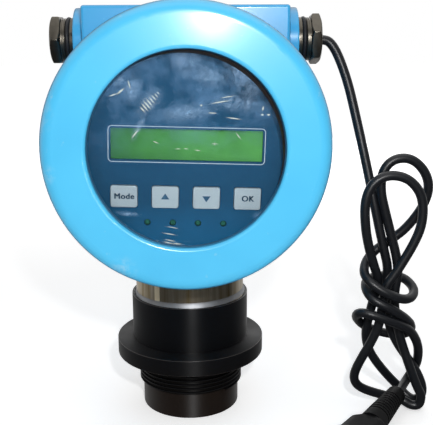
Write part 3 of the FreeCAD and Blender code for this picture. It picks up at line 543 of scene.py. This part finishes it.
# %% [markdown]
# ## Words on the keys
#
# The two outer keys carry a word. Text becomes a mesh and is struck three times, a hair apart, which makes
# it bold as on a typewriter. Each legend rides on its own key, so that it goes in with the key when it is
# pressed.

# %% Words on the keys
key_front, key_z, outer_key_x = -48.4, 100.3, 30.75
letter_size = 4 * mm
legends = []
for body, x, text in (("mode_key", -outer_key_x, "Mode"), ("ok_key", outer_key_x, "OK")):
    bpy.ops.object.select_all(action="DESELECT")
    bpy.ops.object.text_add()
    words = bpy.context.object
    words.data.body = text
    words.data.align_x, words.data.align_y = "CENTER", "CENTER"
    words.data.space_character = 1.12
    words.data.extrude = 0.008
    bpy.ops.object.convert(target="MESH")
    legend = keep("legend_" + text.lower())
    bpy.ops.object.mode_set(mode="EDIT")
    bpy.ops.mesh.select_all(action="SELECT")
    bpy.ops.mesh.duplicate_move(TRANSFORM_OT_translate={"value": (0.045, 0.03, 0)})
    bpy.ops.mesh.duplicate_move(TRANSFORM_OT_translate={"value": (0.045, -0.03, 0)})
    bpy.ops.object.mode_set(mode="OBJECT")
    legend.scale = (letter_size, letter_size, letter_size)
    bpy.ops.object.transform_apply(location=True, rotation=True, scale=True)
    lay_on_panel(legend, x, key_front, key_z)
    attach(legend, body)
    legends.append(legend)
print(len(legends), "words")

# %% [markdown]
# ## Arrows on the keys
#
# The two inner keys carry arrows, up and down. A circle with three points is a triangle, which is pressed a
# little flatter and given the thickness of the ink. All four legends are then finished with a navy ink.

# %% Arrows on the keys
inner_key_x = 10.25
arrow_size, arrow_height, arrow_flat = 2.4 * mm, 0.03 * mm, 0.84
for body, x, angle in (("up_key", -inner_key_x, 0), ("down_key", inner_key_x, pi)):
    bpy.ops.object.select_all(action="DESELECT")
    bpy.ops.mesh.primitive_circle_add(
        vertices=3, radius=arrow_size, fill_type="NGON", rotation=(0, 0, angle))
    arrow = keep("legend_" + body.split("_")[0])
    arrow.scale = (1, arrow_flat, 1)
    bpy.ops.object.transform_apply(location=True, rotation=True, scale=True)
    bpy.ops.object.mode_set(mode="EDIT")
    bpy.ops.mesh.select_all(action="SELECT")
    bpy.ops.mesh.extrude_region_move(TRANSFORM_OT_translate={"value": (0, 0, arrow_height)})
    bpy.ops.object.mode_set(mode="OBJECT")
    lay_on_panel(arrow, x, key_front, key_z)
    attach(arrow, body)
    legends.append(arrow)
print(len(legends), "legends")

# %% [markdown]
# ## Where the window is scuffed
#
# The window of this instrument has been handled: there are short pale scratches, smears and rubbed places on
# the glass, and low down a painted highlight where the light catches the lip. Each is written down as a
# place, a length, a width and an angle, put where the photograph shows a mark.

# %% Places of the scuffs
scuffs_and_glints = [
    # x and z of the middle, length, width and angle in degrees: the ribbed smear on the left
    (-20.6, 145.0, 5.0, 1.1, -50), (-19.5, 146.1, 7.0, 1.1, -50), (-18.4, 147.2, 7.6, 1.1, -50),
    (-17.3, 148.3, 6.6, 1.0, -50), (-16.2, 149.4, 6.2, 0.9, -50), (-15.1, 150.5, 5.2, 0.8, -50),
    (-14.0, 151.6, 4.2, 0.7, -50), (-13.0, 152.7, 3.0, 0.6, -50),
    # the curved scratch beside it
    (-34.2, 152.0, 6.4, 0.9, 17), (-30.8, 153.6, 7.0, 1.4, 38), (-26.6, 156.8, 6.0, 0.9, -76),
    # scratches on the right
    (16.4, 148.3, 13.0, 0.9, 9), (19.7, 150.7, 9.0, 0.7, 9), (12.6, 143.1, 6.5, 0.8, -3),
    (22.7, 140.5, 10.0, 0.9, -8), (7.3, 146.8, 1.8, 1.1, 0), (36.7, 145.1, 3.4, 1.1, 75),
    (36.4, 142.1, 2.2, 1.3, 0), (39.4, 142.1, 2.4, 1.3, 0), (44.2, 143.8, 5.0, 0.5, 30),
    # over the display
    (-24.5, 133.4, 7.3, 1.1, 50), (-14.7, 129.3, 4.6, 0.7, -22), (13.6, 128.3, 5.0, 0.6, 0),
    (13.6, 128.3, 2.6, 0.6, 90), (-4.0, 126.0, 4.0, 0.5, 0), (-0.2, 126.0, 3.2, 0.5, -3),
    (5.4, 125.2, 4.6, 0.6, -8), (25.0, 132.0, 6.0, 0.7, -55),
    # arcs at the foot: scratches, and the lowest two a painted highlight on the lip
    (-7.4, 87.0, 9.0, 0.6, -11), (-8.9, 83.7, 9.5, 0.8, -11), (-8.6, 80.4, 8.0, 0.9, -12),
    (-9.4, 79.2, 8.0, 1.2, -13), (-5.6, 78.7, 8.0, 1.2, -6),
]
patches = [
    # rubbed cloudy places on the right, at the top, round the ribbed smear, and under the keys
    (25.5, 147.8, 34, 13, -4), (24.4, 148.0, 10, 5, 84), (29.4, 147.4, 11, 5, 78),
    (2.0, 166.0, 26, 17, -20), (-2.0, 168.0, 12, 10, 10), (12.0, 160.5, 24, 14, -12),
    (28.0, 157.0, 24, 14, -38), (26.0, 161.0, 24, 13, -40), (31.0, 153.5, 13, 9, 60),
    (-17.5, 148.5, 22, 12, 46), (-25.0, 154.5, 18, 12, 75), (-31.0, 158.5, 9, 5, 42),
    (-22.5, 137.0, 22, 5, 62), (0.0, 143.5, 38, 11, 6), (-29.0, 94.2, 15, 3.5, -6),
    (36.0, 92.5, 10, 6, 0),
]
print(len(scuffs_and_glints), "scratches and", len(patches), "rubbed places")

# %% [markdown]
# ## Slivers on the glass
#
# Each mark is a flat sliver: one circle that is modelled once, copied and stretched. Its own UV layout runs
# from edge to edge, so its finish can fade out from the middle. The slivers of a kind are joined into one
# piece that rides on the cover, because they unscrew with the glass.

# %% Slivers on the glass
glass_front = -57.2


def slivers(name, marks, gap):
    """Copies one flat circle to every mark on the glass, stretched to its length and width, as one piece."""
    bpy.ops.object.select_all(action="DESELECT")
    bpy.ops.mesh.primitive_circle_add(vertices=24, radius=0.5, fill_type="NGON")
    first = keep(name)
    round_sliver = first.data.copy()
    for count, (x, z, length, width, angle) in enumerate(marks):
        mark = first
        if count:
            mark = bpy.data.objects.new(name, round_sliver.copy())
            bpy.context.collection.objects.link(mark)
            mark.select_set(True)
        place = Matrix.Translation((x * mm, (glass_front - gap) * mm, z * mm)) @ upright
        stretch = Matrix.Diagonal((length * mm, width * mm, 1, 1))
        mark.data.transform(place @ Matrix.Rotation(radians(angle), 4, "Z") @ stretch)
    bpy.ops.object.join()
    bpy.data.meshes.remove(round_sliver)
    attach(first, "cover")
    print(len(marks), "marks in", name)
    return first


scuff_gap, patch_gap = 0.08, 0.05
scratches = slivers("window_scuffs_and_glints", scuffs_and_glints, scuff_gap)
rubbed = slivers("rubbed_patches", patches, patch_gap)

# %% [markdown]
# ## Haze on the window
#
# The upper half of the window looks cloudy, as a thin protective film does, and the haze is painted stronger
# towards the top as a painted reflection of the light there. It is a disc just in front of the glass, and an
# inset leaves a rim that stands a hair off it, as a film's edge does. Its material is almost everywhere
# clear and only in soft clouds a little milky.

# %% Protective film
film_radius, film_rim, rim_lift, film_gap = 47.3 * mm, 1.5 * mm, 0.01 * mm, 0.03
bpy.ops.object.select_all(action="DESELECT")
bpy.ops.mesh.primitive_circle_add(vertices=96, radius=film_radius, fill_type="NGON")
film = keep("window_film")
bpy.ops.object.mode_set(mode="EDIT")
bpy.ops.mesh.select_all(action="SELECT")
bpy.ops.mesh.inset(thickness=film_rim)
bpy.ops.transform.translate(value=(0, 0, -rim_lift))
bpy.ops.object.mode_set(mode="OBJECT")
film.data.transform(Matrix.Translation((0, (glass_front - film_gap) * mm, head_axis.z)) @ upright)
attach(film, "cover")
print("film", [round(v * 1000, 1) for v in film.dimensions], "mm")

# %% [markdown]
# ## The painted shadow under the lip
#
# A dark crescent under the lip, from eleven o'clock over the top to four o'clock, stands in for the lip's
# shadow on the panel and the dark edge of the gasket. Each ring of the crescent has its own middle, a little
# further down and to the left, so the band is widest at one o'clock and runs out on both sides. One cut
# takes away the other half, which would lie under the lip. The whole band crosses itself where it runs out,
# so its two halves face opposite ways, and the half that is left is flipped to face outwards.

# %% Painted shadow under the lip
lip_shadow = turned("painted_lip_shadow", [
    (47.55, 57.3), (47.55, 58.3), (47.74, 58.8, -0.43, -0.55), (47.93, 58.5, -0.86, -1.1),
    (48.11, 58.0, -1.29, -1.66), (48.3, 57.3, -1.72, -2.21), (47.55, 57.3),
])
cut_place = (7.9 * mm, 10.1 * mm, 0)
one_o_clock = (0.616, 0.788, 0)
bpy.ops.object.mode_set(mode="EDIT")
bpy.ops.mesh.select_all(action="SELECT")
bpy.ops.mesh.bisect(plane_co=cut_place, plane_no=one_o_clock, clear_inner=True, use_fill=True)
bpy.ops.mesh.select_all(action="SELECT")
bpy.ops.mesh.flip_normals()
bpy.ops.object.mode_set(mode="OBJECT")
lip_shadow.data.transform(Matrix.Translation(head_axis) @ upright)
bpy.ops.object.shade_smooth_by_angle(angle=radians(60))
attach(lip_shadow, "cover")

# %% [markdown]
# ## Blue enamel
#
# The casting and the cover are sprayed with a sky blue enamel and a clear gloss. One plain colour would look
# like a toy, so the blue drifts a little, as a spray gun leaves it, and a soft ripple breaks the
# reflections. The cover has been handled: its rim is pale in a few listed places, two of them rubbed and the
# one high on the left edge a painted highlight. Towards the outline the blue is painted darker, as shade.
# The casting's blue is painted a shade deeper, as shade where the light falls off further back.

# %% Blue enamel
finishes = {}


def enamelled(name, colour, other, pale_places=()):
    """Sprayed enamel under a clear gloss. A pale place has its x, z and reach, in millimetres; it paints
    rubbed wear and highlights alike.
    """
    material, tree, shader = finish(name, colour, 0.33)
    place = add(tree, "TexCoord").outputs["Object"]
    drift = add(tree, "TexNoise", {"Vector": place, "Scale": 1 / (30 * mm), "Detail": 2.0}).outputs["Fac"]
    shade = add(tree, "Mix", {0: drift, 6: linear(colour), 7: linear(other)}, data_type="RGBA")
    specks = add(tree, "TexNoise", {"Vector": place, "Scale": 1 / (7 * mm), "Detail": 6.0, "Roughness": 0.7})
    specks = specks.outputs["Fac"]
    rub = add(tree, "MapRange", {"Value": specks, "From Min": 0.64, "From Max": 0.76, "To Max": 0.4})
    flaky = add(tree, "MapRange", {"Value": specks, "From Min": 0.46, "From Max": 0.68, "To Max": 0.5})
    for x, z, reach in pale_places:
        flat = add(tree, "VectorMath", {0: place, 1: (1, 0, 1)}, operation="MULTIPLY").outputs[0]
        away = add(tree, "VectorMath", {0: flat, 1: (x * mm, 0, z * mm)}, operation="DISTANCE")
        away = away.outputs["Value"]
        near = add(tree, "MapRange", {"Value": away, "From Min": reach * mm, "From Max": 0.0})
        bare = add(tree, "Math", {0: near.outputs[0], 1: flaky.outputs[0]}, operation="MULTIPLY")
        rub = add(tree, "Math", {0: rub.outputs[0], 1: bare.outputs[0]}, operation="MAXIMUM")
    # pale rubbed wear, and at the place high on the left edge a painted highlight
    pale_wear_and_highlight = linear("#CFE3EA")
    shade = add(tree, "Mix", {0: rub.outputs[0], 6: shade.outputs[2], 7: pale_wear_and_highlight}, data_type="RGBA")
    ripple = add(tree, "TexNoise", {"Vector": place, "Scale": 1 / (1.6 * mm), "Detail": 1.0})
    bump = add(tree, "Bump", {"Strength": 0.25, "Distance": 0.05 * mm, "Height": ripple.outputs["Fac"]})
    tree.links.new(bump.outputs["Normal"], shader.inputs["Normal"])
    # painted shade: towards its outline the blue is darkened and the gloss is taken away, which paints a
    # fine dark edge
    turned_away = add(tree, "LayerWeight", {"Blend": 0.5}).outputs["Facing"]
    edge = add(tree, "MapRange", {"Value": turned_away, "From Min": 0.5, "From Max": 0.85})
    painted_outline_shade = linear("#2F7FAA")
    shade = add(tree, "Mix", {0: edge.outputs[0], 6: shade.outputs[2], 7: painted_outline_shade}, data_type="RGBA")
    tree.links.new(shade.outputs[2], shader.inputs["Base Color"])
    coat = add(tree, "MapRange", {"Value": edge.outputs[0], "To Min": 0.8, "To Max": 0.0})
    tree.links.new(coat.outputs[0], shader.inputs["Coat Weight"])
    shine = add(tree, "MapRange", {"Value": edge.outputs[0], "To Min": 0.5, "To Max": 0.0})
    tree.links.new(shine.outputs[0], shader.inputs["Specular IOR Level"])
    shader.inputs["Coat Roughness"].default_value = 0.16
    return material


# sprayed on a smooth turned ring: a bright sky blue with a broad soft glare
finishes["blue_enamel"] = enamelled("sprayed_blue_enamel", "#47BAEB", "#53C8F6", [
    # pale places: a painted highlight high on the left edge, then two rubbed scuffs lower down
    (-69.3, 142.5, 9), (-67.0, 114.5, 6), (-31.4, 66.8, 8),
])
# the same paint on the casting, painted a shade deeper as shade where the flash's light falls off further
# back
shaded_casting_enamel = enamelled("shaded_casting_blue_enamel", "#36A5DE", "#40B0E8")
print("enamel on the cover", finishes["blue_enamel"].name, "and on the casting", shaded_casting_enamel.name)

# %% [markdown]
# ## Glass
#
# Real glass bends light, and a path tracer then loses most of the lamps' light behind it. So the pane is
# glass to the eye and clear to lamps: a Light Path node swaps its shader for a transparent one.

# %% Glass
# toughened float glass: sharp reflections, no colour
glass, tree, shader = finish("toughened_glass", "#FFFFFF", 0.0)
shader.inputs["Transmission Weight"].default_value = 1.0
shader.inputs["IOR"].default_value = 1.5
ray = add(tree, "LightPath")
lit = add(tree, "Math", {
    0: ray.outputs["Is Shadow Ray"], 1: ray.outputs["Is Diffuse Ray"],
}, operation="MAXIMUM")
clear = add(tree, "BsdfTransparent")
pane = add(tree, "MixShader", {0: lit.outputs[0], 1: shader.outputs[0], 2: clear.outputs[0]})
tree.links.new(pane.outputs[0], tree.nodes["Material Output"].inputs["Surface"])
finishes["clear_glass"] = glass
print("window", glass.name)

# %% [markdown]
# ## The cloudy film
#
# The film on the glass is told apart only by its haze: a milky blue whose alpha follows slow clouds and
# grows towards the top, where the growth is a painted reflection of the light.

# %% Cloudy film
# thin polyethylene that has gone milky: clouds without gloss, painted brighter towards the top as reflected
# light
haze_and_reflection, tree, shader = finish("cloudy_film_and_painted_reflection", "#82B0E0", 0.6)
shader.inputs["Specular IOR Level"].default_value = 0.0
place = add(tree, "TexCoord").outputs["Object"]
cloud = add(tree, "TexNoise", {"Vector": place, "Scale": 1 / (12 * mm), "Detail": 10.0, "Roughness": 0.74})
milky = add(tree, "MapRange", {
    "Value": cloud.outputs["Fac"], "From Min": 0.42, "From Max": 0.75, "To Max": 0.42,
})
tall = add(tree, "SeparateXYZ", {0: place})
# painted reflection: the haze grows towards the top, where the light falls on the glass
upper = add(tree, "MapRange", {"Value": tall.outputs["Z"], "From Min": 118 * mm, "From Max": 150 * mm})
share = add(tree, "Math", {0: milky.outputs[0], 1: upper.outputs[0]}, operation="MULTIPLY")
tree.links.new(share.outputs[0], shader.inputs["Alpha"])
print("film", haze_and_reflection.name)

# %% [markdown]
# ## Scratches and rubbed places
#
# Scratches and rubbed patches fade from their middle to nothing, by the distance from the middle of their
# own UV layout, so that no outline shows. The patches are broken up by a noise as well.

# %% Scratches and rubbed places
def from_middle(tree, most):
    """A soft fade over a sliver's own UV layout, from this share in its middle to nothing at its edge."""
    way = add(tree, "TexCoord").outputs["UV"]
    away = add(tree, "VectorMath", {0: way, 1: (0.5, 0.5, 0)}, operation="DISTANCE").outputs["Value"]
    return add(tree, "MapRange", {"Value": away, "From Min": 0.5, "From Max": 0.0, "To Max": most},
               interpolation_type="SMOOTHSTEP").outputs[0]


# the film is whitened where something sharp went over it, and low on the window the same pale paints the
# lip's highlight
scuffs_and_glint_film, tree, shader = finish("scuffed_film_and_glints", "#D9DED2", 0.6)
shader.inputs["Specular IOR Level"].default_value = 0.0
tree.links.new(from_middle(tree, 0.85), shader.inputs["Alpha"])

# fine rubbing leaves a broken veil, finer than the clouds
rubbed_film, tree, shader = finish("rubbed_film", "#AACDF0", 0.6)
shader.inputs["Specular IOR Level"].default_value = 0.0
place = add(tree, "TexCoord").outputs["Object"]
rub = add(tree, "TexNoise", {"Vector": place, "Scale": 1 / (2.2 * mm), "Detail": 8.0, "Roughness": 0.78})
rub = add(tree, "MapRange", {
    "Value": rub.outputs["Fac"], "From Min": 0.4, "From Max": 0.7, "To Min": 0.08, "To Max": 0.7,
})
share = add(tree, "Math", {0: from_middle(tree, 0.9), 1: rub.outputs[0]}, operation="MULTIPLY")
tree.links.new(share.outputs[0], shader.inputs["Alpha"])
print("marks", scuffs_and_glint_film.name, rubbed_film.name)

# %% [markdown]
# ## Black plastics from the lathe
#
# The sensor is acetal and its sleeve a brown-black plastic, both turned. The tool leaves rings far too
# fine to model, and these spread a reflection across themselves: on an upright cylinder a lamp becomes a
# long upright streak. That is what the Anisotropic setting does. The tangent runs round the axis, and a
# quarter turn points the streak upwards.

# %% Black plastics
# a Wave texture repeats every 0.314 units at a scale of 1
one_band = 0.314


def turned_plastic(name, lower, upper, roughness, gloss):
    """Black plastic from the lathe, between two blacks from its foot to its cup."""
    material, tree, shader = finish(name, upper, roughness)
    shader.inputs["Specular IOR Level"].default_value = gloss
    shader.inputs["Anisotropic"].default_value = 0.95
    shader.inputs["Anisotropic Rotation"].default_value = 0.25
    round_axis = add(tree, "Tangent", direction_type="RADIAL", axis="Z")
    tree.links.new(round_axis.outputs[0], shader.inputs["Tangent"])
    place = add(tree, "TexCoord").outputs["Object"]
    tall = add(tree, "SeparateXYZ", {0: place})
    rise = add(tree, "MapRange", {"Value": tall.outputs["Z"], "From Min": -22 * mm, "From Max": 12 * mm})
    shade = add(tree, "Mix", {0: rise.outputs[0], 6: linear(lower), 7: linear(upper)}, data_type="RGBA")
    tree.links.new(shade.outputs[2], shader.inputs["Base Color"])
    hands = add(tree, "TexNoise", {"Vector": place, "Scale": 1 / (14 * mm), "Detail": 4.0})
    hands = add(tree, "MapRange", {
        "Value": hands.outputs["Fac"], "To Min": roughness - 0.1, "To Max": roughness + 0.1,
    })
    tree.links.new(hands.outputs[0], shader.inputs["Roughness"])
    # the rings are drawn 0.4 mm apart, coarser than a fine cut, so that they show
    rings = add(tree, "TexWave", {
        "Vector": place, "Scale": one_band / (0.4 * mm), "Distortion": 0.4,
    }, bands_direction="Z")
    bump = add(tree, "Bump", {"Strength": 0.08, "Distance": 0.02 * mm, "Height": rings.outputs["Fac"]})
    tree.links.new(bump.outputs["Normal"], shader.inputs["Normal"])
    return material


# acetal, black and dense: a weak waxy streak down the middle
acetal = turned_plastic("turned_black_acetal", "#110E0C", "#0A0B0E", 0.55, 0.2)
# filled plastic of the sleeve: browner, and a little shinier
sleeve_plastic = turned_plastic("brown_black_sleeve", "#1A110B", "#20160F", 0.55, 0.6)
# painted highlight: the bevelled edges are paler, as thin lines of light
painted_edge_light = turned_plastic("painted_light_acetal_edge", "#2B2725", "#34302E", 0.4, 0.5)
finishes["black_acetal"] = acetal
print("plastics:", acetal.name, sleeve_plastic.name, painted_edge_light.name)

# %% [markdown]
# ## Rubber, cable and plug
#
# Moulded and extruded pieces have a fine grain from their tool and a colour that is never quite even.
# One function gives both from the same noise: it mixes two close colours and lifts a slight bump, and
# the size of its cells is a real one.

# %% Rubber, cable and plug
def grained(name, colour, other, roughness, cell, metallic=0.0, gloss=0.5):
    """A finish that drifts between two colours with a fine grain of this cell size, in millimetres."""
    material, tree, shader = finish(name, colour, roughness, metallic)
    shader.inputs["Specular IOR Level"].default_value = gloss
    place = add(tree, "TexCoord").outputs["Object"]
    grain = add(tree, "TexNoise", {"Vector": place, "Scale": 1 / (cell * mm), "Detail": 3.0}).outputs["Fac"]
    shade = add(tree, "Mix", {0: grain, 6: linear(colour), 7: linear(other)}, data_type="RGBA")
    bump = add(tree, "Bump", {"Strength": 0.2, "Distance": 0.02 * mm, "Height": grain})
    tree.links.new(shade.outputs[2], shader.inputs["Base Color"])
    tree.links.new(bump.outputs["Normal"], shader.inputs["Normal"])
    return material


# extruded PVC: smooth enough for a clear line of light along each strand
finishes["cable_jacket"] = grained("black_pvc_jacket", "#0E1015", "#15181D", 0.4, 1.2, gloss=0.55)
# moulded PVC of the plug: the mould's matt skin swallows the light
plug_skin = grained("matt_moulded_pvc", "#050506", "#09090B", 0.6, 0.8, gloss=0.15)
# a thread cut in acetal: the flanks catch light from above, the roots stay dark
cut_thread = grained("cut_acetal_thread", "#08080A", "#0F0F11", 0.45, 0.6, gloss=0.5)
# nitrile rubber: black with a dull bloom
finishes["black_rubber"] = grained("nitrile_rubber", "#121317", "#191A1E", 0.55, 0.8)
# the gasket is painted the blue of the parts round it, as the light that clear silicone would let through,
# so that it shows no dark line
see_through_blue_gasket = grained("painted_see_through_gasket", "#1F4A68", "#275877", 0.45, 1.0, gloss=0.3)
# painted shadow of the lip, with the gasket's edge in it: brownish and uneven
lip_shadow_finish = grained("painted_lip_shadow_brown", "#1A1411", "#2B221D", 0.4, 1.5)
# moulded cases of board parts: plain satin black
finishes["board_parts_black"] = grained("moulded_black_case", "#17181A", "#1F2022", 0.5, 0.6)
# blackened sheet round the display: dark, with a hint of metal
finishes["black_steel_sheet"] = grained("blackened_steel", "#1B1C1E", "#242527", 0.45, 1.5, 0.6)
print(len(finishes), "finishes so far")

# %% [markdown]
# ## Steel of the neck
#
# The neck is stainless tube, turned. A noise that is stretched along Z paints upright brown streaks as
# painted reflections, and they change both colour and gloss. One pale streak on the left is a painted
# highlight.

# %% Steel of the neck
# turned stainless tube: dark in the middle, pale at the sides, with painted brown reflections in streaks
steel, tree, shader = finish("turned_stainless_steel", "#9A9388", 0.32, 1.0)
shader.inputs["Anisotropic"].default_value = 0.4
shader.inputs["Anisotropic Rotation"].default_value = 0.25
round_axis = add(tree, "Tangent", direction_type="RADIAL", axis="Z")
tree.links.new(round_axis.outputs[0], shader.inputs["Tangent"])
place = add(tree, "TexCoord").outputs["Object"]
stretched = add(tree, "Mapping", {"Vector": place, "Scale": (1, 1, 0.06)}).outputs[0]
reflection_streaks = add(tree, "TexNoise", {"Vector": stretched, "Scale": 1 / (5 * mm), "Detail": 4.0, "Roughness": 0.6})
reflection_streaks = reflection_streaks.outputs["Fac"]
# painted reflection: the streaks mix a brown into the steel's colour
brown = add(tree, "MapRange", {"Value": reflection_streaks, "From Min": 0.38, "From Max": 0.62})
shade = add(tree, "Mix", {0: brown.outputs[0], 6: linear("#8E7E5E"), 7: linear("#C6BEAC")}, data_type="RGBA")
# one painted pale highlight streak on the left: Compare gives 1 within its half width and 0 outside
highlight_place, highlight_half_width, painted_highlight = -17.6 * mm, 1.4 * mm, linear("#F2E4C4")
sideways = add(tree, "SeparateXYZ", {0: place}).outputs["X"]
on_highlight = add(tree, "Math", {0: sideways, 1: highlight_place, 2: highlight_half_width}, operation="COMPARE")
shade = add(tree, "Mix", {0: on_highlight.outputs[0], 6: shade.outputs[2], 7: painted_highlight}, data_type="RGBA")
# the painted highlight is less metallic, so that it shows pale against the dark room
bare = add(tree, "MapRange", {"Value": on_highlight.outputs[0], "To Min": 1.0, "To Max": 0.75})
tree.links.new(bare.outputs[0], shader.inputs["Metallic"])
tree.links.new(shade.outputs[2], shader.inputs["Base Color"])
gloss = add(tree, "MapRange", {
    "Value": reflection_streaks, "From Min": 0.3, "From Max": 0.7, "To Min": 0.4, "To Max": 0.25,
})
tree.links.new(gloss.outputs[0], shader.inputs["Roughness"])
# the tool marks are drawn 0.25 mm apart, coarser than they are, so that they show
marks = add(tree, "TexWave", {
    "Vector": place, "Scale": one_band / (0.25 * mm), "Distortion": 0.6,
}, bands_direction="Z")
bump = add(tree, "Bump", {"Strength": 0.12, "Distance": 0.02 * mm, "Height": marks.outputs["Fac"]})
tree.links.new(bump.outputs["Normal"], shader.inputs["Normal"])
finishes["stainless_steel"] = steel
print("neck", steel.name)

# %% [markdown]
# ## Plated and ground metal
#
# The entry screws are brass under satin nickel, the foot of the neck was ground bright, and the small
# screws and the blades of the plug are plated. The grained finish serves for all of them, as a metal.

# %% Plated and ground metal
# satin nickel on brass: warm grey flats with bright edges
finishes["nickel_plate"] = grained("nickel_plated_brass", "#5E5A52", "#746F66", 0.36, 2.5, 1.0)
# steel ground bright at the neck's foot: one soft gleam
ground_steel = grained("ground_bright_steel", "#7D7D80", "#B2B4B6", 0.5, 7.0, 1.0)
# zinc plate on small screws: pale and even
finishes["zinc_plate"] = grained("zinc_plated_steel", "#B4B6B4", "#C6C8C6", 0.35, 1.0, 1.0)
# nickel on the plug's blades: pale and a little yellow
finishes["plug_blade"] = grained("nickel_plated_blade", "#C9C4B4", "#D6D2C4", 0.28, 2.0, 1.0)
print("metals", finishes["nickel_plate"].name, ground_steel.name)

# %% [markdown]
# ## Panel, keys and lamps
#
# The panel is a polyester film, printed on its back and matt on its face. The keys are pale silicone, and
# the lamps green epoxy that isn't lit. The panel starts from the grained finish, and one more Mix node
# between its colour and the shader makes its foot paler: painted light that lifts the shade lying on its
# lower part.

# %% Panel, keys and lamps
# matt printed film: a flat deep blue without reflections, painted a shade paler at its foot to lift the
# shade there
panel_film = grained("printed_polyester_film", "#0C4263", "#114B6E", 0.6, 6.0, gloss=0.12)
tree = panel_film.node_tree
shader = tree.nodes["Principled BSDF"]
printed = shader.inputs["Base Color"].links[0].from_socket
tall = add(tree, "SeparateXYZ", {0: add(tree, "TexCoord").outputs["Object"]})
# painted light: the foot of the panel is paler, against the shade that falls there
paler_foot = add(tree, "MapRange", {"Value": tall.outputs["Z"], "From Min": 98 * mm, "From Max": 78 * mm})
painted_foot_blue = linear("#14608C")
shade = add(tree, "Mix", {0: paler_foot.outputs[0], 6: printed, 7: painted_foot_blue}, data_type="RGBA")
tree.links.new(shade.outputs[2], shader.inputs["Base Color"])
finishes["panel_film"] = panel_film
# silicone rubber: pale, soft and even
finishes["key_plastic"] = grained("pale_silicone_key", "#98ABB5", "#A2B4BE", 0.5, 3.0)
# tinted epoxy that isn't lit: hardly greener than the panel
finishes["led_lens"] = grained("green_led_epoxy", "#225C50", "#286757", 0.8, 2.0, gloss=0.04)
# printing inks: navy on the keys, a thin grey white round the display
legend_ink = grained("navy_legend_ink", "#0E4464", "#134C6C", 0.5, 2.0, gloss=0.3)
white_ink = grained("pale_screen_ink", "#A4B9C8", "#B1C4D2", 0.5, 2.0, gloss=0.3)
print("panel", panel_film.name, "and lamps", finishes["led_lens"].name)

# %% [markdown]
# ## The display
#
# The blank display is a green glass with a light behind it. It is darker towards its left end, so its colour
# follows X as well as a slow noise.

# %% Display
# glass over a green light: even, with a slow drift
lcd, tree, shader = finish("green_display_glass", "#56965F", 0.25)
shader.inputs["Specular IOR Level"].default_value = 0.2
place = add(tree, "TexCoord").outputs["Object"]
drift = add(tree, "TexNoise", {"Vector": place, "Scale": 1 / (18 * mm), "Detail": 2.0})
sideways = add(tree, "SeparateXYZ", {0: place}).outputs["X"]
along = add(tree, "MapRange", {"Value": sideways, "From Min": -45 * mm, "From Max": 0.0})
along = add(tree, "Math", {0: along.outputs[0], 1: drift.outputs["Fac"]}, operation="MULTIPLY")
dull_green, bright_green = linear("#2E6E3B"), linear("#5FB35C")
shade = add(tree, "Mix", {0: along.outputs[0], 6: dull_green, 7: bright_green}, data_type="RGBA")
tree.links.new(shade.outputs[2], shader.inputs["Base Color"])
finishes["lcd_green"] = lcd
print("display", lcd.name)

# %% [markdown]
# ## Boards and the pieces inside
#
# What is inside shows only when the cover is off, but it is finished all the same: solder mask, moulded
# cases, varnish and ceramic, each with its usual colour and grain.

# %% Pieces inside
# solder mask over copper: deep green with a slight gloss
finishes["circuit_board"] = grained("green_solder_mask", "#1E5B39", "#246642", 0.4, 4.0)
# moulded relay cases: clear bright blue
finishes["relay_blue"] = grained("blue_relay_case", "#2B5FA8", "#3067B2", 0.4, 2.0)
# moulded polyamide: light green and satin
finishes["terminal_green"] = grained("green_terminal_block", "#3E9A4F", "#46A558", 0.45, 1.5)
# varnish over iron sheets: brown and blotchy
finishes["transformer_lacquer"] = grained("varnished_laminations", "#4A3A2A", "#5B4936", 0.35, 0.8)
# epoxy with mineral filler: dull grey and speckled
finishes["filled_epoxy"] = grained("filled_epoxy", "#8C8A80", "#A3A197", 0.6, 0.5)
# silvered ceramic: pale with a faint sparkle
finishes["piezo_ceramic"] = grained("silvered_ceramic", "#CFCDC6", "#DAD8D2", 0.4, 0.6)
print(len(finishes), "finishes in all")

# %% [markdown]
# ## Putting the finishes on
#
# The record gives each CAD piece a slot, and each slot has its finish. A few pieces get one of their own.

# %% Putting the finishes on
for part in frame["record"]["subparts"]:
    node = nodes[part["node"]]
    node.data.materials.clear()
    node.data.materials.append(finishes[part["material_slot"]])
for piece, material in (
    (nodes["housing"], shaded_casting_enamel), (nodes["plug_body"], plug_skin),
    (nodes["window_gasket"], see_through_blue_gasket), (cable, finishes["cable_jacket"]), (sensor, acetal),
    (neck_foot, ground_steel), (outline, white_ink), (scratches, scuffs_and_glint_film), (rubbed, rubbed_film),
    (film, haze_and_reflection), (lip_shadow, lip_shadow_finish),
    *[(metal, finishes["nickel_plate"]) for metal in entry_metal],
    *[(legend, legend_ink) for legend in legends],
):
    piece.data.materials.clear()
    piece.data.materials.append(material)

# %% [markdown]
# ## Four finishes on the sensor
#
# The sensor is one mesh with four finishes. Its faces are told apart by their place and by how they lean, so
# that the sleeve, the thread and the paler edges of the flange and the cup, which are painted lines of
# light, differ from the rest.

# %% Four finishes on the sensor
for material in (sleeve_plastic, painted_edge_light, cut_thread):
    sensor.data.materials.append(material)
on_body, on_sleeve, on_lit_edge, on_thread = range(4)
edge_band = 1.0
for face in sensor.data.polygons:
    out, height = face.center.xy.length / mm, face.center.z / mm
    slanted = 0.2 < abs(face.normal.z) < 0.97
    if height < thread_foot - 0.1:
        face.material_index = on_sleeve
    elif slanted and (out > flange - edge_band or height > cup_rim - edge_band):
        face.material_index = on_lit_edge
    elif height < -0.2 and out > thread_root + 0.1:
        face.material_index = on_thread
    else:
        face.material_index = on_body
print(len(sensor.data.polygons), "faces sorted into", len(sensor.data.materials), "finishes")

# %% [markdown]
# ## The end
#
# The view layer is brought up to date.

# %% Finish
bpy.context.view_layer.update()
